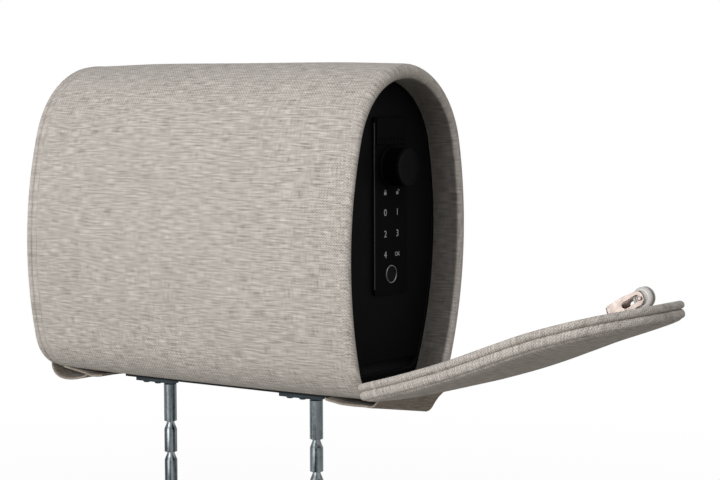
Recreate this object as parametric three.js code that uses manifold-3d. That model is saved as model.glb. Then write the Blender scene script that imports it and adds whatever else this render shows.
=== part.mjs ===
// A car safe built into a seat headrest: an upholstered steel case on two notched posts, with a padded flap
// over each end. Behind the right flap is a drawer with a keypad, a fingerprint reader and a lock knob.
// Millimetres, +X to the open end, +Y to the back, +Z up. The origin lies midway between the posts, on the
// underside of the upholstered body. The right flap is modelled open and the drawer closed and unlocked.

import * as THREE from 'three';
import { mergeVertices } from 'three/addons/utils/BufferGeometryUtils.js';
import Module from 'manifold-3d';

const wasm = await Module();
wasm.setup();

// Driving sizes
const clearance = 0.3;
const overrun = 1;
const degree = Math.PI / 180;

const body = {
  halfLength: 150,
  bottom: 5,
  top: 244,
  frontY: -72,
  backY: 88,
  frontRadius: 300,
  backRadius: 280,
  frontBulgeHeight: 103,
  backBulgeHeight: 126,
  frontCorner: 38,
  backCorner: 24,
  narrowing: 2.8,
};

const wall = {
  cover: 2,
  foam: 8.6,
  shell: 1.6,
  lining: 2,
  recessDepth: 26,
};

const frame = {
  thickness: 2.5,
  setBack: 5.5,
  insideInset: 20,
  sillHeight: 30,
  frontCorner: 16,
  backCorner: 5,
};

const base = {
  halfLength: 106,
  frontY: -14,
  backY: 46,
  sheet: 2,
  drop: 4.7,
};

const post = {
  spacing: 144,
  radius: 5,
  length: 162,
  neckRadius: 3,
  neckLength: 1.4,
  coneLength: 4.6,
  firstNotch: 33.6,
  notchPitch: 24.2,
  notches: 4,
  chamfer: 1.2,
  spigotRadius: 2,
  seatDepth: 2.6,
};

const bracket = {
  reach: 32.5,
  pastPost: 5.4,
  width: 7.5,
  thickness: 4,
  screwRadius: 1.5,
  headRadius: 2.8,
  headHeight: 1.1,
  screwFromPost: 12.5,
  screwPitch: 12,
};

const flap = {
  seamGap: 0.5,
  floor: 15.5,
  topDrop: 9,
  cornerRadius: 26,
  innerPad: 5,
  board: 1,
  boardInset: 6,
  outerPad: 6,
  crown: 7.7,
  pivotOut: 1.8,
  pivotUp: 2.5,
  openAngle: 72.3 * degree,
};

// How far a closed flap's padding, pressed on the rim, spreads past the open flap's outline and flattens
const spread = {
  down: 8.3,
  up: 8,
  corner: 6,
  flatten: 4.7,
};

const strap = {
  thickness: 1.6,
  frontY: -38,
  backY: 34,
  sag: 6,
  edgeRise: 9,
  loopSag: 1,
  sewnHeight: 13,
  standOff: 3.6,
  hingeGap: 0.4,
  endGap: 2,
};

const latch = {
  y: 8,
  axleBelowTop: 17,
  axleFromStart: 28.5,
  axleHeight: 8.3,
  rollerRadius: 7,
  rollerLength: 8,
  axleRadius: 1.5,
  sheet: 1.2,
  slotLength: 14,
  slotAngle: 15 * degree,
  tipRadius: 4.4,
  footHeight: 3,
  lipHeight: 6.5,
  footLength: 15,
  screwRadius: 1.5,
  screwHeadRadius: 2.8,
  screwHeadHeight: 1.8,
  screwLength: 3.3,
  screwAlong: 6,
};

const strike = {
  hook: 1.3,
  width: 12,
  sheet: 1.5,
  fromFace: 5,
  fromFlap: 1,
};

const drawer = {
  panel: 2.5,
  panelInset: 14.3,
  panelFloor: 26.5,
  sheet: 1.2,
  frontY: -37.5,
  backY: 49.6,
  floor: 33,
  wallHeight: 105,
  rearGap: 10,
  linerBase: 8,
  linerWall: 4,
};

const slide = {
  centreHeight: 70,
  railHeight: 22,
  railSheet: 1.5,
  web: 7.2,
  memberHeight: 15,
  play: 0.5,
};

const plate = {
  y0: -0.5,
  width: 40.3,
  bottom: 76,
  height: 127.7,
  thickness: 2,
  cornerRadius: 1.6,
  pocketDepth: 1,
};

const keyCover = {
  height: 19.4,
  sideBorder: 2,
  thickness: 1.6,
  ribs: 9,
  ribWidth: 1,
  ribHeight: 2.6,
  ribProud: 0.5,
};

const keyLock = {
  height: 192,
  plugRadius: 4.4,
  caseRadius: 6.6,
  length: 24,
  keyway: 1.4,
  keywayDepth: 8,
};

const reader = {
  height: 90,
  outerRadius: 6.8,
  innerRadius: 5.6,
  proud: 0.7,
  lens: 0.6,
};

const knob = {
  height: 168,
  radius: 14,
  length: 14,
  edge: 1.6,
  skirtRadius: 15.4,
  skirt: 1.4,
  spindleRadius: 3,
  socketDepth: 8,
};

const bolt = {
  pinionRadius: 4.5,
  thickness: 6,
  height: 8,
  fromPanel: 7,
  rackOverlap: 9,
};

const lockCase = {
  depth: 29,
  frontY: -28,
  backY: 45,
  bottom: 36,
  top: 202,
  sheet: 1.2,
};

const board = { thickness: 1.6, bottom: 78, height: 62, sideGap: 6 };
const battery = { depth: 15, width: 62, bottom: 40, height: 34 };
const solenoid = { width: 24, height: 12, depth: 12, bottom: 142 };

// Facets round a turned piece
const facets = { screw: 12, head: 16, post: 20, usual: 24, ring: 32 };

// Materials
const finish = (color, roughness, metalness) =>
  new THREE.MeshStandardMaterial({ color, roughness, metalness });
const linen = finish(0xb4aca3, 0.95, 0);
const foam = finish(0x5c5a57, 1, 0);
const blackSteel = finish(0x17181a, 0.5, 0.4);
const chrome = finish(0xc4c8ca, 0.2, 1);
const zinc = finish(0x4b555c, 0.45, 0.9);
const nickel = finish(0xd8cbbb, 0.25, 1);
const blackPlastic = finish(0x101112, 0.35, 0);
const boardPlastic = finish(0x2a2a2a, 0.7, 0);
const greyRubber = finish(0x9a9b9f, 0.7, 0);
const brass = finish(0xb08d4a, 0.35, 1);
const circuitGreen = finish(0x1f5a3a, 0.5, 0);
const glass = finish(0x15171c, 0.1, 0);

const part = new THREE.Group();

/** Adds a named mesh to a group. */
function add(group, name, geometry, material) {
  const mesh = new THREE.Mesh(geometry, material);
  mesh.name = name;
  group.add(mesh);
}

/** Six times the signed volume of an indexed geometry: positive when its faces point out. */
function signedVolume(positions, index) {
  const corner = [new THREE.Vector3(), new THREE.Vector3(), new THREE.Vector3()];
  let sum = 0;
  for (let i = 0; i < index.length; i += 3) {
    corner.forEach((v, k) => v.fromArray(positions, 3 * index[i + k]));
    sum += corner[0].dot(corner[1].cross(corner[2]));
  }
  return sum;
}

/** A geometry from flat positions and triangles, turned so that its faces point out. */
function closedGeometry(positions, index) {
  const facesOut = signedVolume(positions, index) > 0;
  const turned = facesOut ? index : index.slice().reverse();
  const geometry = new THREE.BufferGeometry();
  geometry.setAttribute('position', new THREE.Float32BufferAttribute(positions, 3));
  geometry.setIndex(turned);
  geometry.computeVertexNormals();
  return geometry;
}

/** Triangles between rings of equal length; the last ring joins the first when the loft is closed. */
function bands(ringCount, ringLength, closed) {
  const index = [];
  const last = closed ? ringCount : ringCount - 1;
  for (let i = 0; i < last; i++) {
    const next = (i + 1) % ringCount;
    for (let j = 0; j < ringLength; j++) {
      const k = (j + 1) % ringLength;
      const [a, b] = [i * ringLength + j, i * ringLength + k];
      const [c, d] = [next * ringLength + j, next * ringLength + k];
      index.push(a, b, d, a, d, c);
    }
  }
  return index;
}

/** A closed tube wall: rings follow one another round the wall's own section. */
function wallLoft(rings) {
  const positions = rings.flat().flatMap((p) => [p.x, p.y, p.z]);
  return closedGeometry(positions, bands(rings.length, rings[0].length, true));
}

/** A closed solid through stacked rings, with a flat fan on its first and last ring. */
function cappedLoft(rings) {
  const positions = rings.flat().flatMap((p) => [p.x, p.y, p.z]);
  const size = rings[0].length;
  const index = bands(rings.length, size, false);
  for (const [ring, start] of [[rings[0], 0], [rings.at(-1), (rings.length - 1) * size]]) {
    const middle = ring.reduce((sum, p) => sum.add(p), new THREE.Vector3()).divideScalar(size);
    const centre = positions.length / 3;
    positions.push(middle.x, middle.y, middle.z);
    for (let j = 0; j < size; j++) {
      const [a, b] = [start + j, start + ((j + 1) % size)];
      if (start === 0) index.push(centre, b, a);
      else index.push(centre, a, b);
    }
  }
  return closedGeometry(positions, index);
}

/** A manifold solid from a geometry. */
function solid(geometry) {
  const plain = new THREE.BufferGeometry();
  plain.setAttribute('position', geometry.getAttribute('position'));
  if (geometry.index) plain.setIndex(geometry.index);
  const merged = mergeVertices(plain);
  return new wasm.Manifold(new wasm.Mesh({
    numProp: 3,
    vertProperties: new Float32Array(merged.getAttribute('position').array),
    triVerts: new Uint32Array(merged.index.array),
  }));
}

/** A geometry from a manifold solid. */
function geometryOf(manifold) {
  const mesh = manifold.getMesh();
  const geometry = new THREE.BufferGeometry();
  geometry.setAttribute('position', new THREE.Float32BufferAttribute(mesh.vertProperties, 3));
  geometry.setIndex(Array.from(mesh.triVerts));
  geometry.computeVertexNormals();
  return geometry;
}

/** The first geometry with the others cut away. */
function cut(geometry, ...tools) {
  return geometryOf(tools.reduce((left, tool) => left.subtract(solid(tool)), solid(geometry)));
}

/** The geometries joined into one. */
function join(geometry, ...others) {
  return geometryOf(others.reduce((whole, other) => whole.add(solid(other)), solid(geometry)));
}

/** A box between two corners. */
function box(x0, x1, y0, y1, z0, z1) {
  const geometry = new THREE.BoxGeometry(x1 - x0, y1 - y0, z1 - z0);
  return geometry.translate((x0 + x1) / 2, (y0 + y1) / 2, (z0 + z1) / 2);
}

/** A shape drawn in Y and Z, extruded from x0 to x1. */
function alongX(shape, x0, x1) {
  const settings = { depth: x1 - x0, bevelEnabled: false, curveSegments: 4 };
  const geometry = new THREE.ExtrudeGeometry(shape, settings);
  const turn = new THREE.Matrix4().makeBasis(
    new THREE.Vector3(0, 1, 0), new THREE.Vector3(0, 0, 1), new THREE.Vector3(1, 0, 0));
  return geometry.applyMatrix4(turn).translate(x0, 0, 0);
}

/** A shape drawn in X and Z, extruded from y0 to y1. */
function alongY(shape, y0, y1) {
  const settings = { depth: y1 - y0, bevelEnabled: false, curveSegments: 6 };
  const geometry = new THREE.ExtrudeGeometry(shape, settings);
  return geometry.rotateX(Math.PI / 2).translate(0, y1, 0);
}

/** A turned solid round an axis through (y, z) along X; its profile is [radius, x] from axis to axis. */
function turnedX(profile, y, z, segments = facets.usual) {
  const geometry = new THREE.LatheGeometry(profile.map(([r, x]) => new THREE.Vector2(r, x)), segments);
  return geometry.rotateZ(-Math.PI / 2).translate(0, y, z);
}

/** A round bar along X. */
function barX(radius, x0, x1, y, z, segments = facets.usual) {
  return turnedX([[0, x0], [radius, x0], [radius, x1], [0, x1]], y, z, segments);
}

/** A round bar along Y. */
function barY(radius, y0, y1, x, z, segments = facets.post) {
  const geometry = new THREE.CylinderGeometry(radius, radius, y1 - y0, segments);
  return geometry.translate(x, (y0 + y1) / 2, z);
}

/** A round bar along Z. */
function barZ(radius, z0, z1, x, y, segments = facets.post) {
  const geometry = new THREE.CylinderGeometry(radius, radius, z1 - z0, segments);
  return geometry.rotateX(Math.PI / 2).translate(x, y, (z0 + z1) / 2);
}

/** A rectangle in a shape's own plane, with round corners. */
function roundedRectangle(u0, u1, v0, v1, radius) {
  const shape = new THREE.Shape();
  shape.absarc(u1 - radius, v0 + radius, radius, -Math.PI / 2, 0);
  shape.absarc(u1 - radius, v1 - radius, radius, 0, Math.PI / 2);
  shape.absarc(u0 + radius, v1 - radius, radius, Math.PI / 2, Math.PI);
  shape.absarc(u0 + radius, v0 + radius, radius, Math.PI, 1.5 * Math.PI);
  return shape;
}

/** A polygon as a shape. */
function polygon(points) {
  return new THREE.Shape(points.map(([u, v]) => new THREE.Vector2(u, v)));
}

// The headrest's section is one closed line of tangent arcs in Y and Z: a front and a back side of large
// radius, a crown that touches both from inside, and two corners on a flat bottom.
const frontSide = {
  y: body.frontY + body.frontRadius,
  z: body.frontBulgeHeight,
  radius: body.frontRadius,
};
const backSide = {
  y: body.backY - body.backRadius,
  z: body.backBulgeHeight,
  radius: body.backRadius,
};
const crown = crownArc(frontSide, backSide);

/** The arc that touches the top line and both sides: two circle equations, solved for its radius and y. */
function crownArc(front, back) {
  const [frontRise, backRise] = [body.top - front.z, body.top - back.z];
  const frontConstant = front.y ** 2 + frontRise ** 2 - front.radius ** 2;
  const backConstant = back.y ** 2 + backRise ** 2 - back.radius ** 2;
  const apart = front.y - back.y;
  const slope = (front.radius - frontRise - back.radius + backRise) / apart;
  const offset = (frontConstant - backConstant) / 2 / apart;
  const b = 2 * slope * offset - 2 * front.y * slope + 2 * (front.radius - frontRise);
  const c = offset ** 2 - 2 * front.y * offset + frontConstant;
  const radius = (-2 * c) / (b + Math.sqrt(b * b - 4 * slope ** 2 * c));
  return { y: slope * radius + offset, z: body.top - radius, radius };
}

/** Points on an arc, without its first one. */
function arcPoints(centre, radius, from, to, count) {
  return Array.from({ length: count }, (_, i) => {
    const angle = from + ((to - from) * (i + 1)) / count;
    return [centre.y + radius * Math.cos(angle), centre.z + radius * Math.sin(angle)];
  });
}

const outlineSteps = { corner: 5, side: 6, crown: 14, bottom: 2 };

/** The section's line, moved inwards by inset, with its own floor and corner radii where it has them. */
function outline(inset, floor = body.bottom + inset, frontRadius = body.frontCorner - inset,
  backRadius = body.backCorner - inset) {
  const cornerCentre = (side, sign, radius) => {
    const z = floor + radius;
    return { y: side.y + sign * Math.sqrt((side.radius - inset - radius) ** 2 - (z - side.z) ** 2), z };
  };
  const backCorner = cornerCentre(backSide, 1, backRadius);
  const frontCorner = cornerCentre(frontSide, -1, frontRadius);
  const towards = (from, to) => Math.atan2(to.z - from.z, to.y - from.y);
  const around = (from, to) => (towards(from, to) + 2 * Math.PI) % (2 * Math.PI);
  const [backLow, backHigh] = [towards(backSide, backCorner), towards(backSide, crown)];
  const [frontHigh, frontLow] = [around(frontSide, crown), around(frontSide, frontCorner)];
  const middle = (backCorner.y + frontCorner.y) / 2;
  const bottom = (from, to) => Array.from({ length: outlineSteps.bottom }, (_, i) =>
    [from + ((to - from) * (i + 1)) / outlineSteps.bottom, floor]);
  return [
    ...bottom(middle, backCorner.y),
    ...arcPoints(backCorner, backRadius, -Math.PI / 2, backLow, outlineSteps.corner),
    ...arcPoints(backSide, backSide.radius - inset, backLow, backHigh, outlineSteps.side),
    ...arcPoints(crown, crown.radius - inset, backHigh, frontHigh, outlineSteps.crown),
    ...arcPoints(frontSide, frontSide.radius - inset, frontHigh, frontLow, outlineSteps.side),
    ...arcPoints(frontCorner, frontRadius, frontLow, 1.5 * Math.PI, outlineSteps.corner),
    ...bottom(frontCorner.y, middle),
  ];
}

/** An outline as a ring of points in the plane at x. */
const ring = (x, points) => points.map(([y, z]) => new THREE.Vector3(x, y, z));

const middleY = (body.frontY + body.backY) / 2;
const halfDepth = (body.backY - body.frontY) / 2;

/** An outline made narrower in Y: both sides come in by the body's narrowing times share. */
const narrowed = (points, share) => points.map(([y, z]) =>
  [middleY + (y - middleY) * (1 - (body.narrowing * share) / halfDepth), z]);

// Insets of the wall's layers, from the outside in
const foamOutside = wall.cover + clearance;
const foamInside = foamOutside + wall.foam;
const shellOutside = foamInside + clearance;
const shellInside = shellOutside + wall.shell;
const rimWidth = shellInside;
const shellEnd = body.halfLength - wall.recessDepth;
const panelFace = shellEnd;
const panelBack = panelFace - drawer.panel;

/** A half-round rim between two insets, bulging along X to its end. */
function rimArc(sign, outsideInset, insideInset, end, count) {
  const radius = (insideInset - outsideInset) / 2;
  return Array.from({ length: count + 1 }, (_, i) => {
    const angle = (Math.PI * i) / count;
    const x = end - radius + radius * Math.sin(angle);
    return [sign * x, outsideInset + radius - radius * Math.cos(angle)];
  });
}

/** A closed ring wall from a loop of [x, inset] points. */
const ringWall = (loop) => wallLoft(loop.map(([x, inset]) => ring(x, outline(inset))));

/** The same for the padding, whose sides come in towards the ends; the steel case under it is straight. */
const paddedWall = (loop) => wallLoft(loop.map(([x, inset]) => {
  const depthShare = Math.max(0, 1 - inset / foamInside);
  return ring(x, narrowed(outline(inset), depthShare * (x / body.halfLength) ** 2));
}));

// Stations between the ends, where the padding's long sides bend
const stations = [-2, -1, 0, 1, 2].map((k) => (k * body.halfLength) / 3);

// Upholstery and steel case

const shellFloor = body.bottom + shellOutside;

/** The opening for the base in the underside's cloth and foam. */
const baseOpening = () => box(-base.halfLength - clearance, base.halfLength + clearance,
  base.frontY - clearance, base.backY + clearance, body.bottom - overrun, shellFloor);

function fabricCover() {
  const rimSteps = 8;
  const outer = (sign) => rimArc(sign, 0, rimWidth, body.halfLength, rimSteps);
  const liningInside = rimWidth - wall.lining;
  const inner = (sign) => rimArc(sign, wall.cover, liningInside, body.halfLength - wall.cover, rimSteps);
  const liningEnd = shellEnd + clearance;
  const right = [...outer(1), [liningEnd, rimWidth], [liningEnd, liningInside], ...inner(1).reverse()];
  const left = [...inner(-1), [-liningEnd, liningInside], [-liningEnd, rimWidth], ...outer(-1).reverse()];
  const under = stations.map((x) => [-x, wall.cover]);
  const over = stations.map((x) => [x, 0]);
  return cut(paddedWall([...right, ...under, ...left, ...over]), baseOpening());
}

function foamWrap() {
  const end = body.halfLength - wall.cover - wall.foam / 2;
  const lip = shellEnd + clearance;
  const lipInset = rimWidth - wall.lining - clearance;
  const loop = [
    [-end, foamOutside], ...stations.map((x) => [x, foamOutside]), [end, foamOutside],
    [end, lipInset], [lip, lipInset], [lip, foamInside],
    [-lip, foamInside], [-lip, lipInset], [-end, lipInset],
  ];
  return cut(paddedWall(loop), baseOpening());
}

function steelShell() {
  return ringWall([[-shellEnd, shellOutside], [shellEnd, shellOutside], [shellEnd, shellInside],
    [-shellEnd, shellInside]]);
}

/** A flat sheet with the section's outline, between two x places. */
const sheet = (x0, x1, inset) => cappedLoft([x0, x1].map((x) => ring(x, outline(inset))));

const endPlateX = -shellEnd + frame.setBack;
const frameFront = shellEnd - frame.setBack;
const frameBack = frameFront - frame.thickness;

function boltFrame() {
  const outside = shellInside + clearance;
  const outer = outline(outside);
  const inner = outline(frame.insideInset, frame.sillHeight, frame.frontCorner, frame.backCorner);
  return wallLoft([ring(frameBack, outer), ring(frameFront, outer), ring(frameFront, inner),
    ring(frameBack, inner)]);
}

// The closed flap's catch: the strike reaches down past the top of the roller.
const flapHeight = body.top - flap.topDrop - flap.floor;
const axleAlong = flapHeight - latch.axleBelowTop;
const latchStart = axleAlong - latch.axleFromStart;
const strikeFoot = flap.floor + axleAlong + latch.rollerRadius - strike.hook;

/** The strike under the recess's roof: a strip whose outer end bends down behind the closed flap's roller. */
function catchStrike(sign) {
  const radius = crown.radius - rimWidth - clearance;
  const reach = Math.abs(latch.y - crown.y) + strike.width / 2;
  const top = crown.z + Math.sqrt(radius ** 2 - reach ** 2);
  const start = shellEnd + strike.fromFace;
  const end = body.halfLength - strike.fromFlap;
  const points = [[start, top], [start, top - strike.sheet], [end - strike.sheet, top - strike.sheet],
    [end - strike.sheet, strikeFoot], [end, strikeFoot], [end, top]];
  return alongY(polygon(points.map(([x, z]) => [sign * x, z])), latch.y - strike.width / 2,
    latch.y + strike.width / 2);
}

add(part, 'fabric_cover', fabricCover(), linen);
add(part, 'foam_wrap', foamWrap(), foam);
add(part, 'steel_shell', steelShell(), blackSteel);
add(part, 'shell_end_plate', sheet(endPlateX - wall.shell, endPlateX, shellInside + clearance), blackSteel);
add(part, 'bolt_frame', boltFrame(), blackSteel);

// Base, brackets and posts

const webFoot = body.bottom - base.drop;
const webTop = webFoot + base.sheet;
const bracketTop = webFoot - clearance;
const bracketFoot = bracketTop - bracket.thickness;
const postTop = bracketFoot + post.seatDepth - clearance;

/** The places along X of a bracket's two screws. */
const screwPlaces = (postX) => [0, 1].map((i) => postX - bracket.screwFromPost - i * bracket.screwPitch);

function baseChannel() {
  const top = shellFloor - clearance;
  const outer = box(-base.halfLength, base.halfLength, base.frontY, base.backY, webFoot, top);
  const hollow = box(-base.halfLength - overrun, base.halfLength + overrun, base.frontY + base.sheet,
    base.backY - base.sheet, webTop, top + overrun);
  const holes = [-1, 1].flatMap((side) => screwPlaces((side * post.spacing) / 2)).map((x) =>
    barZ(bracket.screwRadius + clearance, webFoot - overrun, webTop + overrun, x, 0));
  return cut(outer, hollow, ...holes);
}

function postBracket(postX) {
  const half = bracket.width / 2;
  const strip = box(postX - bracket.reach, postX + bracket.pastPost, -half, half, bracketFoot, bracketTop);
  const seatTop = bracketFoot + post.seatDepth;
  const bore = barZ(post.spigotRadius + clearance, bracketFoot - overrun, seatTop, postX, 0);
  const holes = screwPlaces(postX).map((x) =>
    barZ(bracket.screwRadius + clearance, bracketFoot - overrun, bracketTop + overrun, x, 0));
  return cut(strip, bore, ...holes);
}

/** A turned post with a spigot on top. Each notch has a flat shoulder, a neck and a cone that opens down. */
function notchedPost(postX) {
  const foot = postTop - post.length;
  const profile = [[0, foot], [post.radius - post.chamfer, foot], [post.radius, foot + post.chamfer]];
  for (let i = post.notches - 1; i >= 0; i--) {
    const shoulder = -post.firstNotch - i * post.notchPitch;
    const neckFoot = shoulder - post.neckLength;
    profile.push([post.radius, neckFoot - post.coneLength], [post.neckRadius, neckFoot],
      [post.neckRadius, shoulder], [post.radius, shoulder]);
  }
  const seat = bracketFoot - clearance;
  profile.push([post.radius, seat], [post.spigotRadius, seat], [post.spigotRadius, postTop], [0, postTop]);
  const geometry = new THREE.LatheGeometry(profile.map(([r, z]) => new THREE.Vector2(r, z)), facets.post);
  return geometry.rotateX(Math.PI / 2).translate(postX, 0, 0);
}

function bracketScrew(x) {
  const headTop = bracketFoot - clearance;
  const shank = [[bracket.screwRadius, headTop], [bracket.screwRadius, webTop]];
  const profile = [[0, headTop - bracket.headHeight], [bracket.headRadius, headTop - bracket.headHeight],
    [bracket.headRadius, headTop], ...shank, [0, webTop]];
  const geometry = new THREE.LatheGeometry(profile.map(([r, z]) => new THREE.Vector2(r, z)), facets.head);
  return geometry.rotateX(Math.PI / 2).translate(x, 0, 0);
}

add(part, 'base_channel', baseChannel(), blackSteel);
for (const [side, sign] of [['right', 1], ['left', -1]]) {
  const postX = (sign * post.spacing) / 2;
  add(part, `bracket_${side}`, postBracket(postX), zinc);
  add(part, `post_${side}`, notchedPost(postX), chrome);
  screwPlaces(postX).forEach((x, i) => add(part, `bracket_screw_${side}_${i + 1}`, bracketScrew(x), zinc));
  add(part, `catch_strike_${side}`, catchStrike(sign), blackSteel);
}

// End flaps. A flap is drawn closed over the right end: n runs outwards from its inner face, s up from its
// lower edge. A sign of -1 mirrors it to the left end.

const flapFace = body.halfLength + flap.seamGap;
const boardStart = flap.innerPad - flap.board;
const outerStart = flap.innerPad + clearance;
const outerFace = outerStart + flap.outerPad;

/** A flap's lower edge, top and corner radius: the right one hangs open, the left one is pressed shut. */
function flapReach(sign) {
  const [low, high] = [flap.floor, body.top - flap.topDrop];
  if (sign > 0) return { low, high, corner: flap.cornerRadius };
  return { low: low - spread.down, high: high + spread.up, corner: flap.cornerRadius + spread.corner };
}

/** The hinge line of a flap, just above its lower edge. */
const pivotOf = (sign) => ({ x: flapFace + flap.pivotOut, z: flapReach(sign).low + flap.pivotUp });

/** The flap's outline: the body's section above the flap's own floor, a little lower at the crown. */
function flapOutline(sign, inset) {
  const { low, high, corner } = flapReach(sign);
  const heightShare = (high - low) / (body.top - low);
  return narrowed(outline(inset, low + inset, corner - inset, corner - inset), 1).map(([y, z]) =>
    [y, low + (z - low) * heightShare]);
}

const padCrownShares = [0.85, 0.65, 0.4, 0.15];

/** A pad with a half-round edge from n0 to n0 + thickness, crowned on its outer side. */
function pad(sign, n0, thickness, crownHeight) {
  const edgeSteps = 6;
  const radius = thickness / 2;
  const rings = Array.from({ length: edgeSteps + 1 }, (_, i) => {
    const angle = (Math.PI * i) / edgeSteps;
    const n = n0 + radius - radius * Math.cos(angle);
    return ring(sign * (flapFace + n), flapOutline(sign, radius - radius * Math.sin(angle)));
  });
  if (crownHeight > 0) {
    const rim = flapOutline(sign, radius);
    const { low, high } = flapReach(sign);
    const centre = [rim.reduce((sum, p) => sum + p[0], 0) / rim.length, (low + high) / 2];
    for (const share of padCrownShares) {
      const x = sign * (flapFace + n0 + thickness + crownHeight * (1 - share ** 2));
      rings.push(ring(x, rim.map(([y, z]) =>
        [centre[0] + share * (y - centre[0]), centre[1] + share * (z - centre[1])])));
    }
  }
  return cappedLoft(rings);
}

/** The stiff board between the pads, or the pocket for it in the inner pad where room is the clearance. */
function flapBoard(sign, room = 0) {
  const edge = flapOutline(sign, flap.boardInset - room);
  const faces = [boardStart - room, boardStart + flap.board + room];
  return cappedLoft(faces.map((n) => ring(sign * (flapFace + n), edge)));
}

// Places on the flap's inner face: along is measured up from its lower edge and height off the face.
const latchX = (sign, height) => sign * (flapFace - height);
const latchZ = (along) => flap.floor + along;
const cheekHalf = latch.rollerLength / 2 + clearance + latch.sheet;

/** The catch's stamped bracket: two slotted cheeks on a foot with a turned-up lip. */
function catchBracket(sign) {
  const point = (along, height) => [latchX(sign, height), latchZ(along)];
  const axle = new THREE.Vector2(axleAlong, latch.axleHeight);
  const tipSteps = 8;
  const tip = Array.from({ length: tipSteps + 1 }, (_, i) => {
    const angle = Math.PI / 2 + latch.slotAngle - (Math.PI * i) / tipSteps;
    return point(axle.x + latch.tipRadius * Math.cos(angle), axle.y + latch.tipRadius * Math.sin(angle));
  });
  const gap = clearance;
  const cheek = polygon([point(latchStart, gap), point(latchStart, gap + latch.footHeight), ...tip,
    point(axleAlong - latch.tipRadius, gap)]);
  const cheeks = [-1, 1].map((side) => {
    const inside = latch.y + side * (cheekHalf - latch.sheet);
    const outside = latch.y + side * cheekHalf;
    return alongY(cheek, Math.min(inside, outside), Math.max(inside, outside));
  });
  const across = [latch.y - cheekHalf, latch.y + cheekHalf];
  const plateOf = (along0, along1, height0, height1) => {
    const x = [latchX(sign, height0), latchX(sign, height1)].sort((a, b) => a - b);
    return box(...x, ...across, latchZ(along0), latchZ(along1));
  };
  const foot = plateOf(latchStart, latchStart + latch.footLength, gap, gap + latch.sheet);
  const lip = plateOf(latchStart, latchStart + latch.sheet, gap, gap + latch.lipHeight);
  const slotWidth = latch.axleRadius + clearance;
  const along = new THREE.Vector2(Math.cos(latch.slotAngle), Math.sin(latch.slotAngle));
  const slotPoints = [];
  const slotSteps = 6;
  for (const [end, turn] of [[0, -Math.PI / 2], [latch.slotLength, Math.PI / 2]]) {
    for (let i = 0; i <= slotSteps; i++) {
      const angle = latch.slotAngle + turn + (Math.PI * i) / slotSteps;
      slotPoints.push(point(axle.x - end * along.x + slotWidth * Math.cos(angle),
        axle.y - end * along.y + slotWidth * Math.sin(angle)));
    }
  }
  const slot = alongY(polygon(slotPoints), across[0] - overrun, across[1] + overrun);
  const screwHole = barX(latch.screwRadius + clearance, ...[latchX(sign, -overrun),
    latchX(sign, gap + latch.sheet + overrun)].sort((a, b) => a - b), latch.y,
  latchZ(latchStart + latch.screwAlong), facets.screw);
  return cut(join(cheeks[0], cheeks[1], foot, lip), slot, screwHole);
}

/** A round screw from the catch's foot into the padding. */
function catchScrew(sign) {
  const seat = clearance + latch.sheet + clearance;
  const headTop = seat + latch.screwHeadHeight;
  const shank = [[0, -latch.screwLength], [latch.screwRadius, -latch.screwLength], [latch.screwRadius, seat]];
  const profile = [...shank, [latch.screwHeadRadius, seat], [latch.screwHeadRadius, headTop], [0, headTop]];
  const ordered = sign > 0 ? profile.slice().reverse() : profile;
  return turnedX(ordered.map(([r, height]) => [r, latchX(sign, height)]), latch.y,
    latchZ(latchStart + latch.screwAlong), facets.screw);
}

/** The hole that the catch's screw makes in the inner pad. */
function screwHoleInPad(sign) {
  const ends = [latchX(sign, overrun), latchX(sign, -latch.screwLength - clearance)].sort((a, b) => a - b);
  const along = latchStart + latch.screwAlong;
  return barX(latch.screwRadius + clearance, ...ends, latch.y, latchZ(along), facets.screw);
}

function catchRoller(sign) {
  const half = latch.rollerLength / 2;
  const [x, z] = [latchX(sign, latch.axleHeight), latchZ(axleAlong)];
  const rounding = latch.rollerRadius / 4;
  const bore = latch.axleRadius + clearance;
  const shoulder = latch.rollerRadius - rounding;
  const radius = latch.rollerRadius;
  const tread = [[shoulder, -half], [radius, rounding - half], [radius, half - rounding]];
  const profile = [[bore, -half], ...tread, [shoulder, half], [bore, half], [bore, -half]];
  const geometry = new THREE.LatheGeometry(profile.map(([r, y]) => new THREE.Vector2(r, y)), facets.usual);
  return geometry.translate(x, latch.y, z);
}

function catchAxle(sign) {
  const half = cheekHalf + latch.sheet;
  return barY(latch.axleRadius, latch.y - half, latch.y + half, latchX(sign, latch.axleHeight),
    latchZ(axleAlong), facets.screw);
}

/** A band of cloth along a curve in X and Z. Its front edge is raised and its back edge lowered by tiltAt. */
function clothBand(points, sign, tiltAt) {
  const curve = new THREE.CatmullRomCurve3(points.map(([x, z]) => new THREE.Vector3(x, 0, z)));
  const steps = 12;
  return cappedLoft(Array.from({ length: steps + 1 }, (_, i) => {
    const at = curve.getPoint(i / steps);
    const along = curve.getTangent(i / steps);
    const rise = (strap.edgeRise / 2) * tiltAt(i / steps);
    const [front, back] = [[strap.frontY, rise], [strap.backY, -rise]];
    const corner = ([y, lift], face) => new THREE.Vector3(
      sign * (at.x - (face * along.z * strap.thickness) / 2), y,
      at.z + lift + (face * along.x * strap.thickness) / 2);
    return [corner(front, 1), corner(back, 1), corner(back, -1), corner(front, -1)];
  }));
}

const strapTop = body.bottom - clearance - strap.thickness / 2;
const strapLow = strapTop - strap.sag;
const strapRoot = body.halfLength + strap.hingeGap / 2;

/** The strap's tail, sewn under the body: it lies flat at the base and sags towards the end. */
function strapTail(sign) {
  const start = base.halfLength + strap.endGap;
  const end = strapRoot - strap.hingeGap;
  const ease = (share) => share ** 2 * (3 - 2 * share);
  const places = [0, 1, 2, 3].map((i) => i / 3);
  const points = places.map((share) => [start + (end - start) * share, strapTop - strap.sag * ease(share)]);
  return clothBand(points, sign, ease);
}

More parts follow.
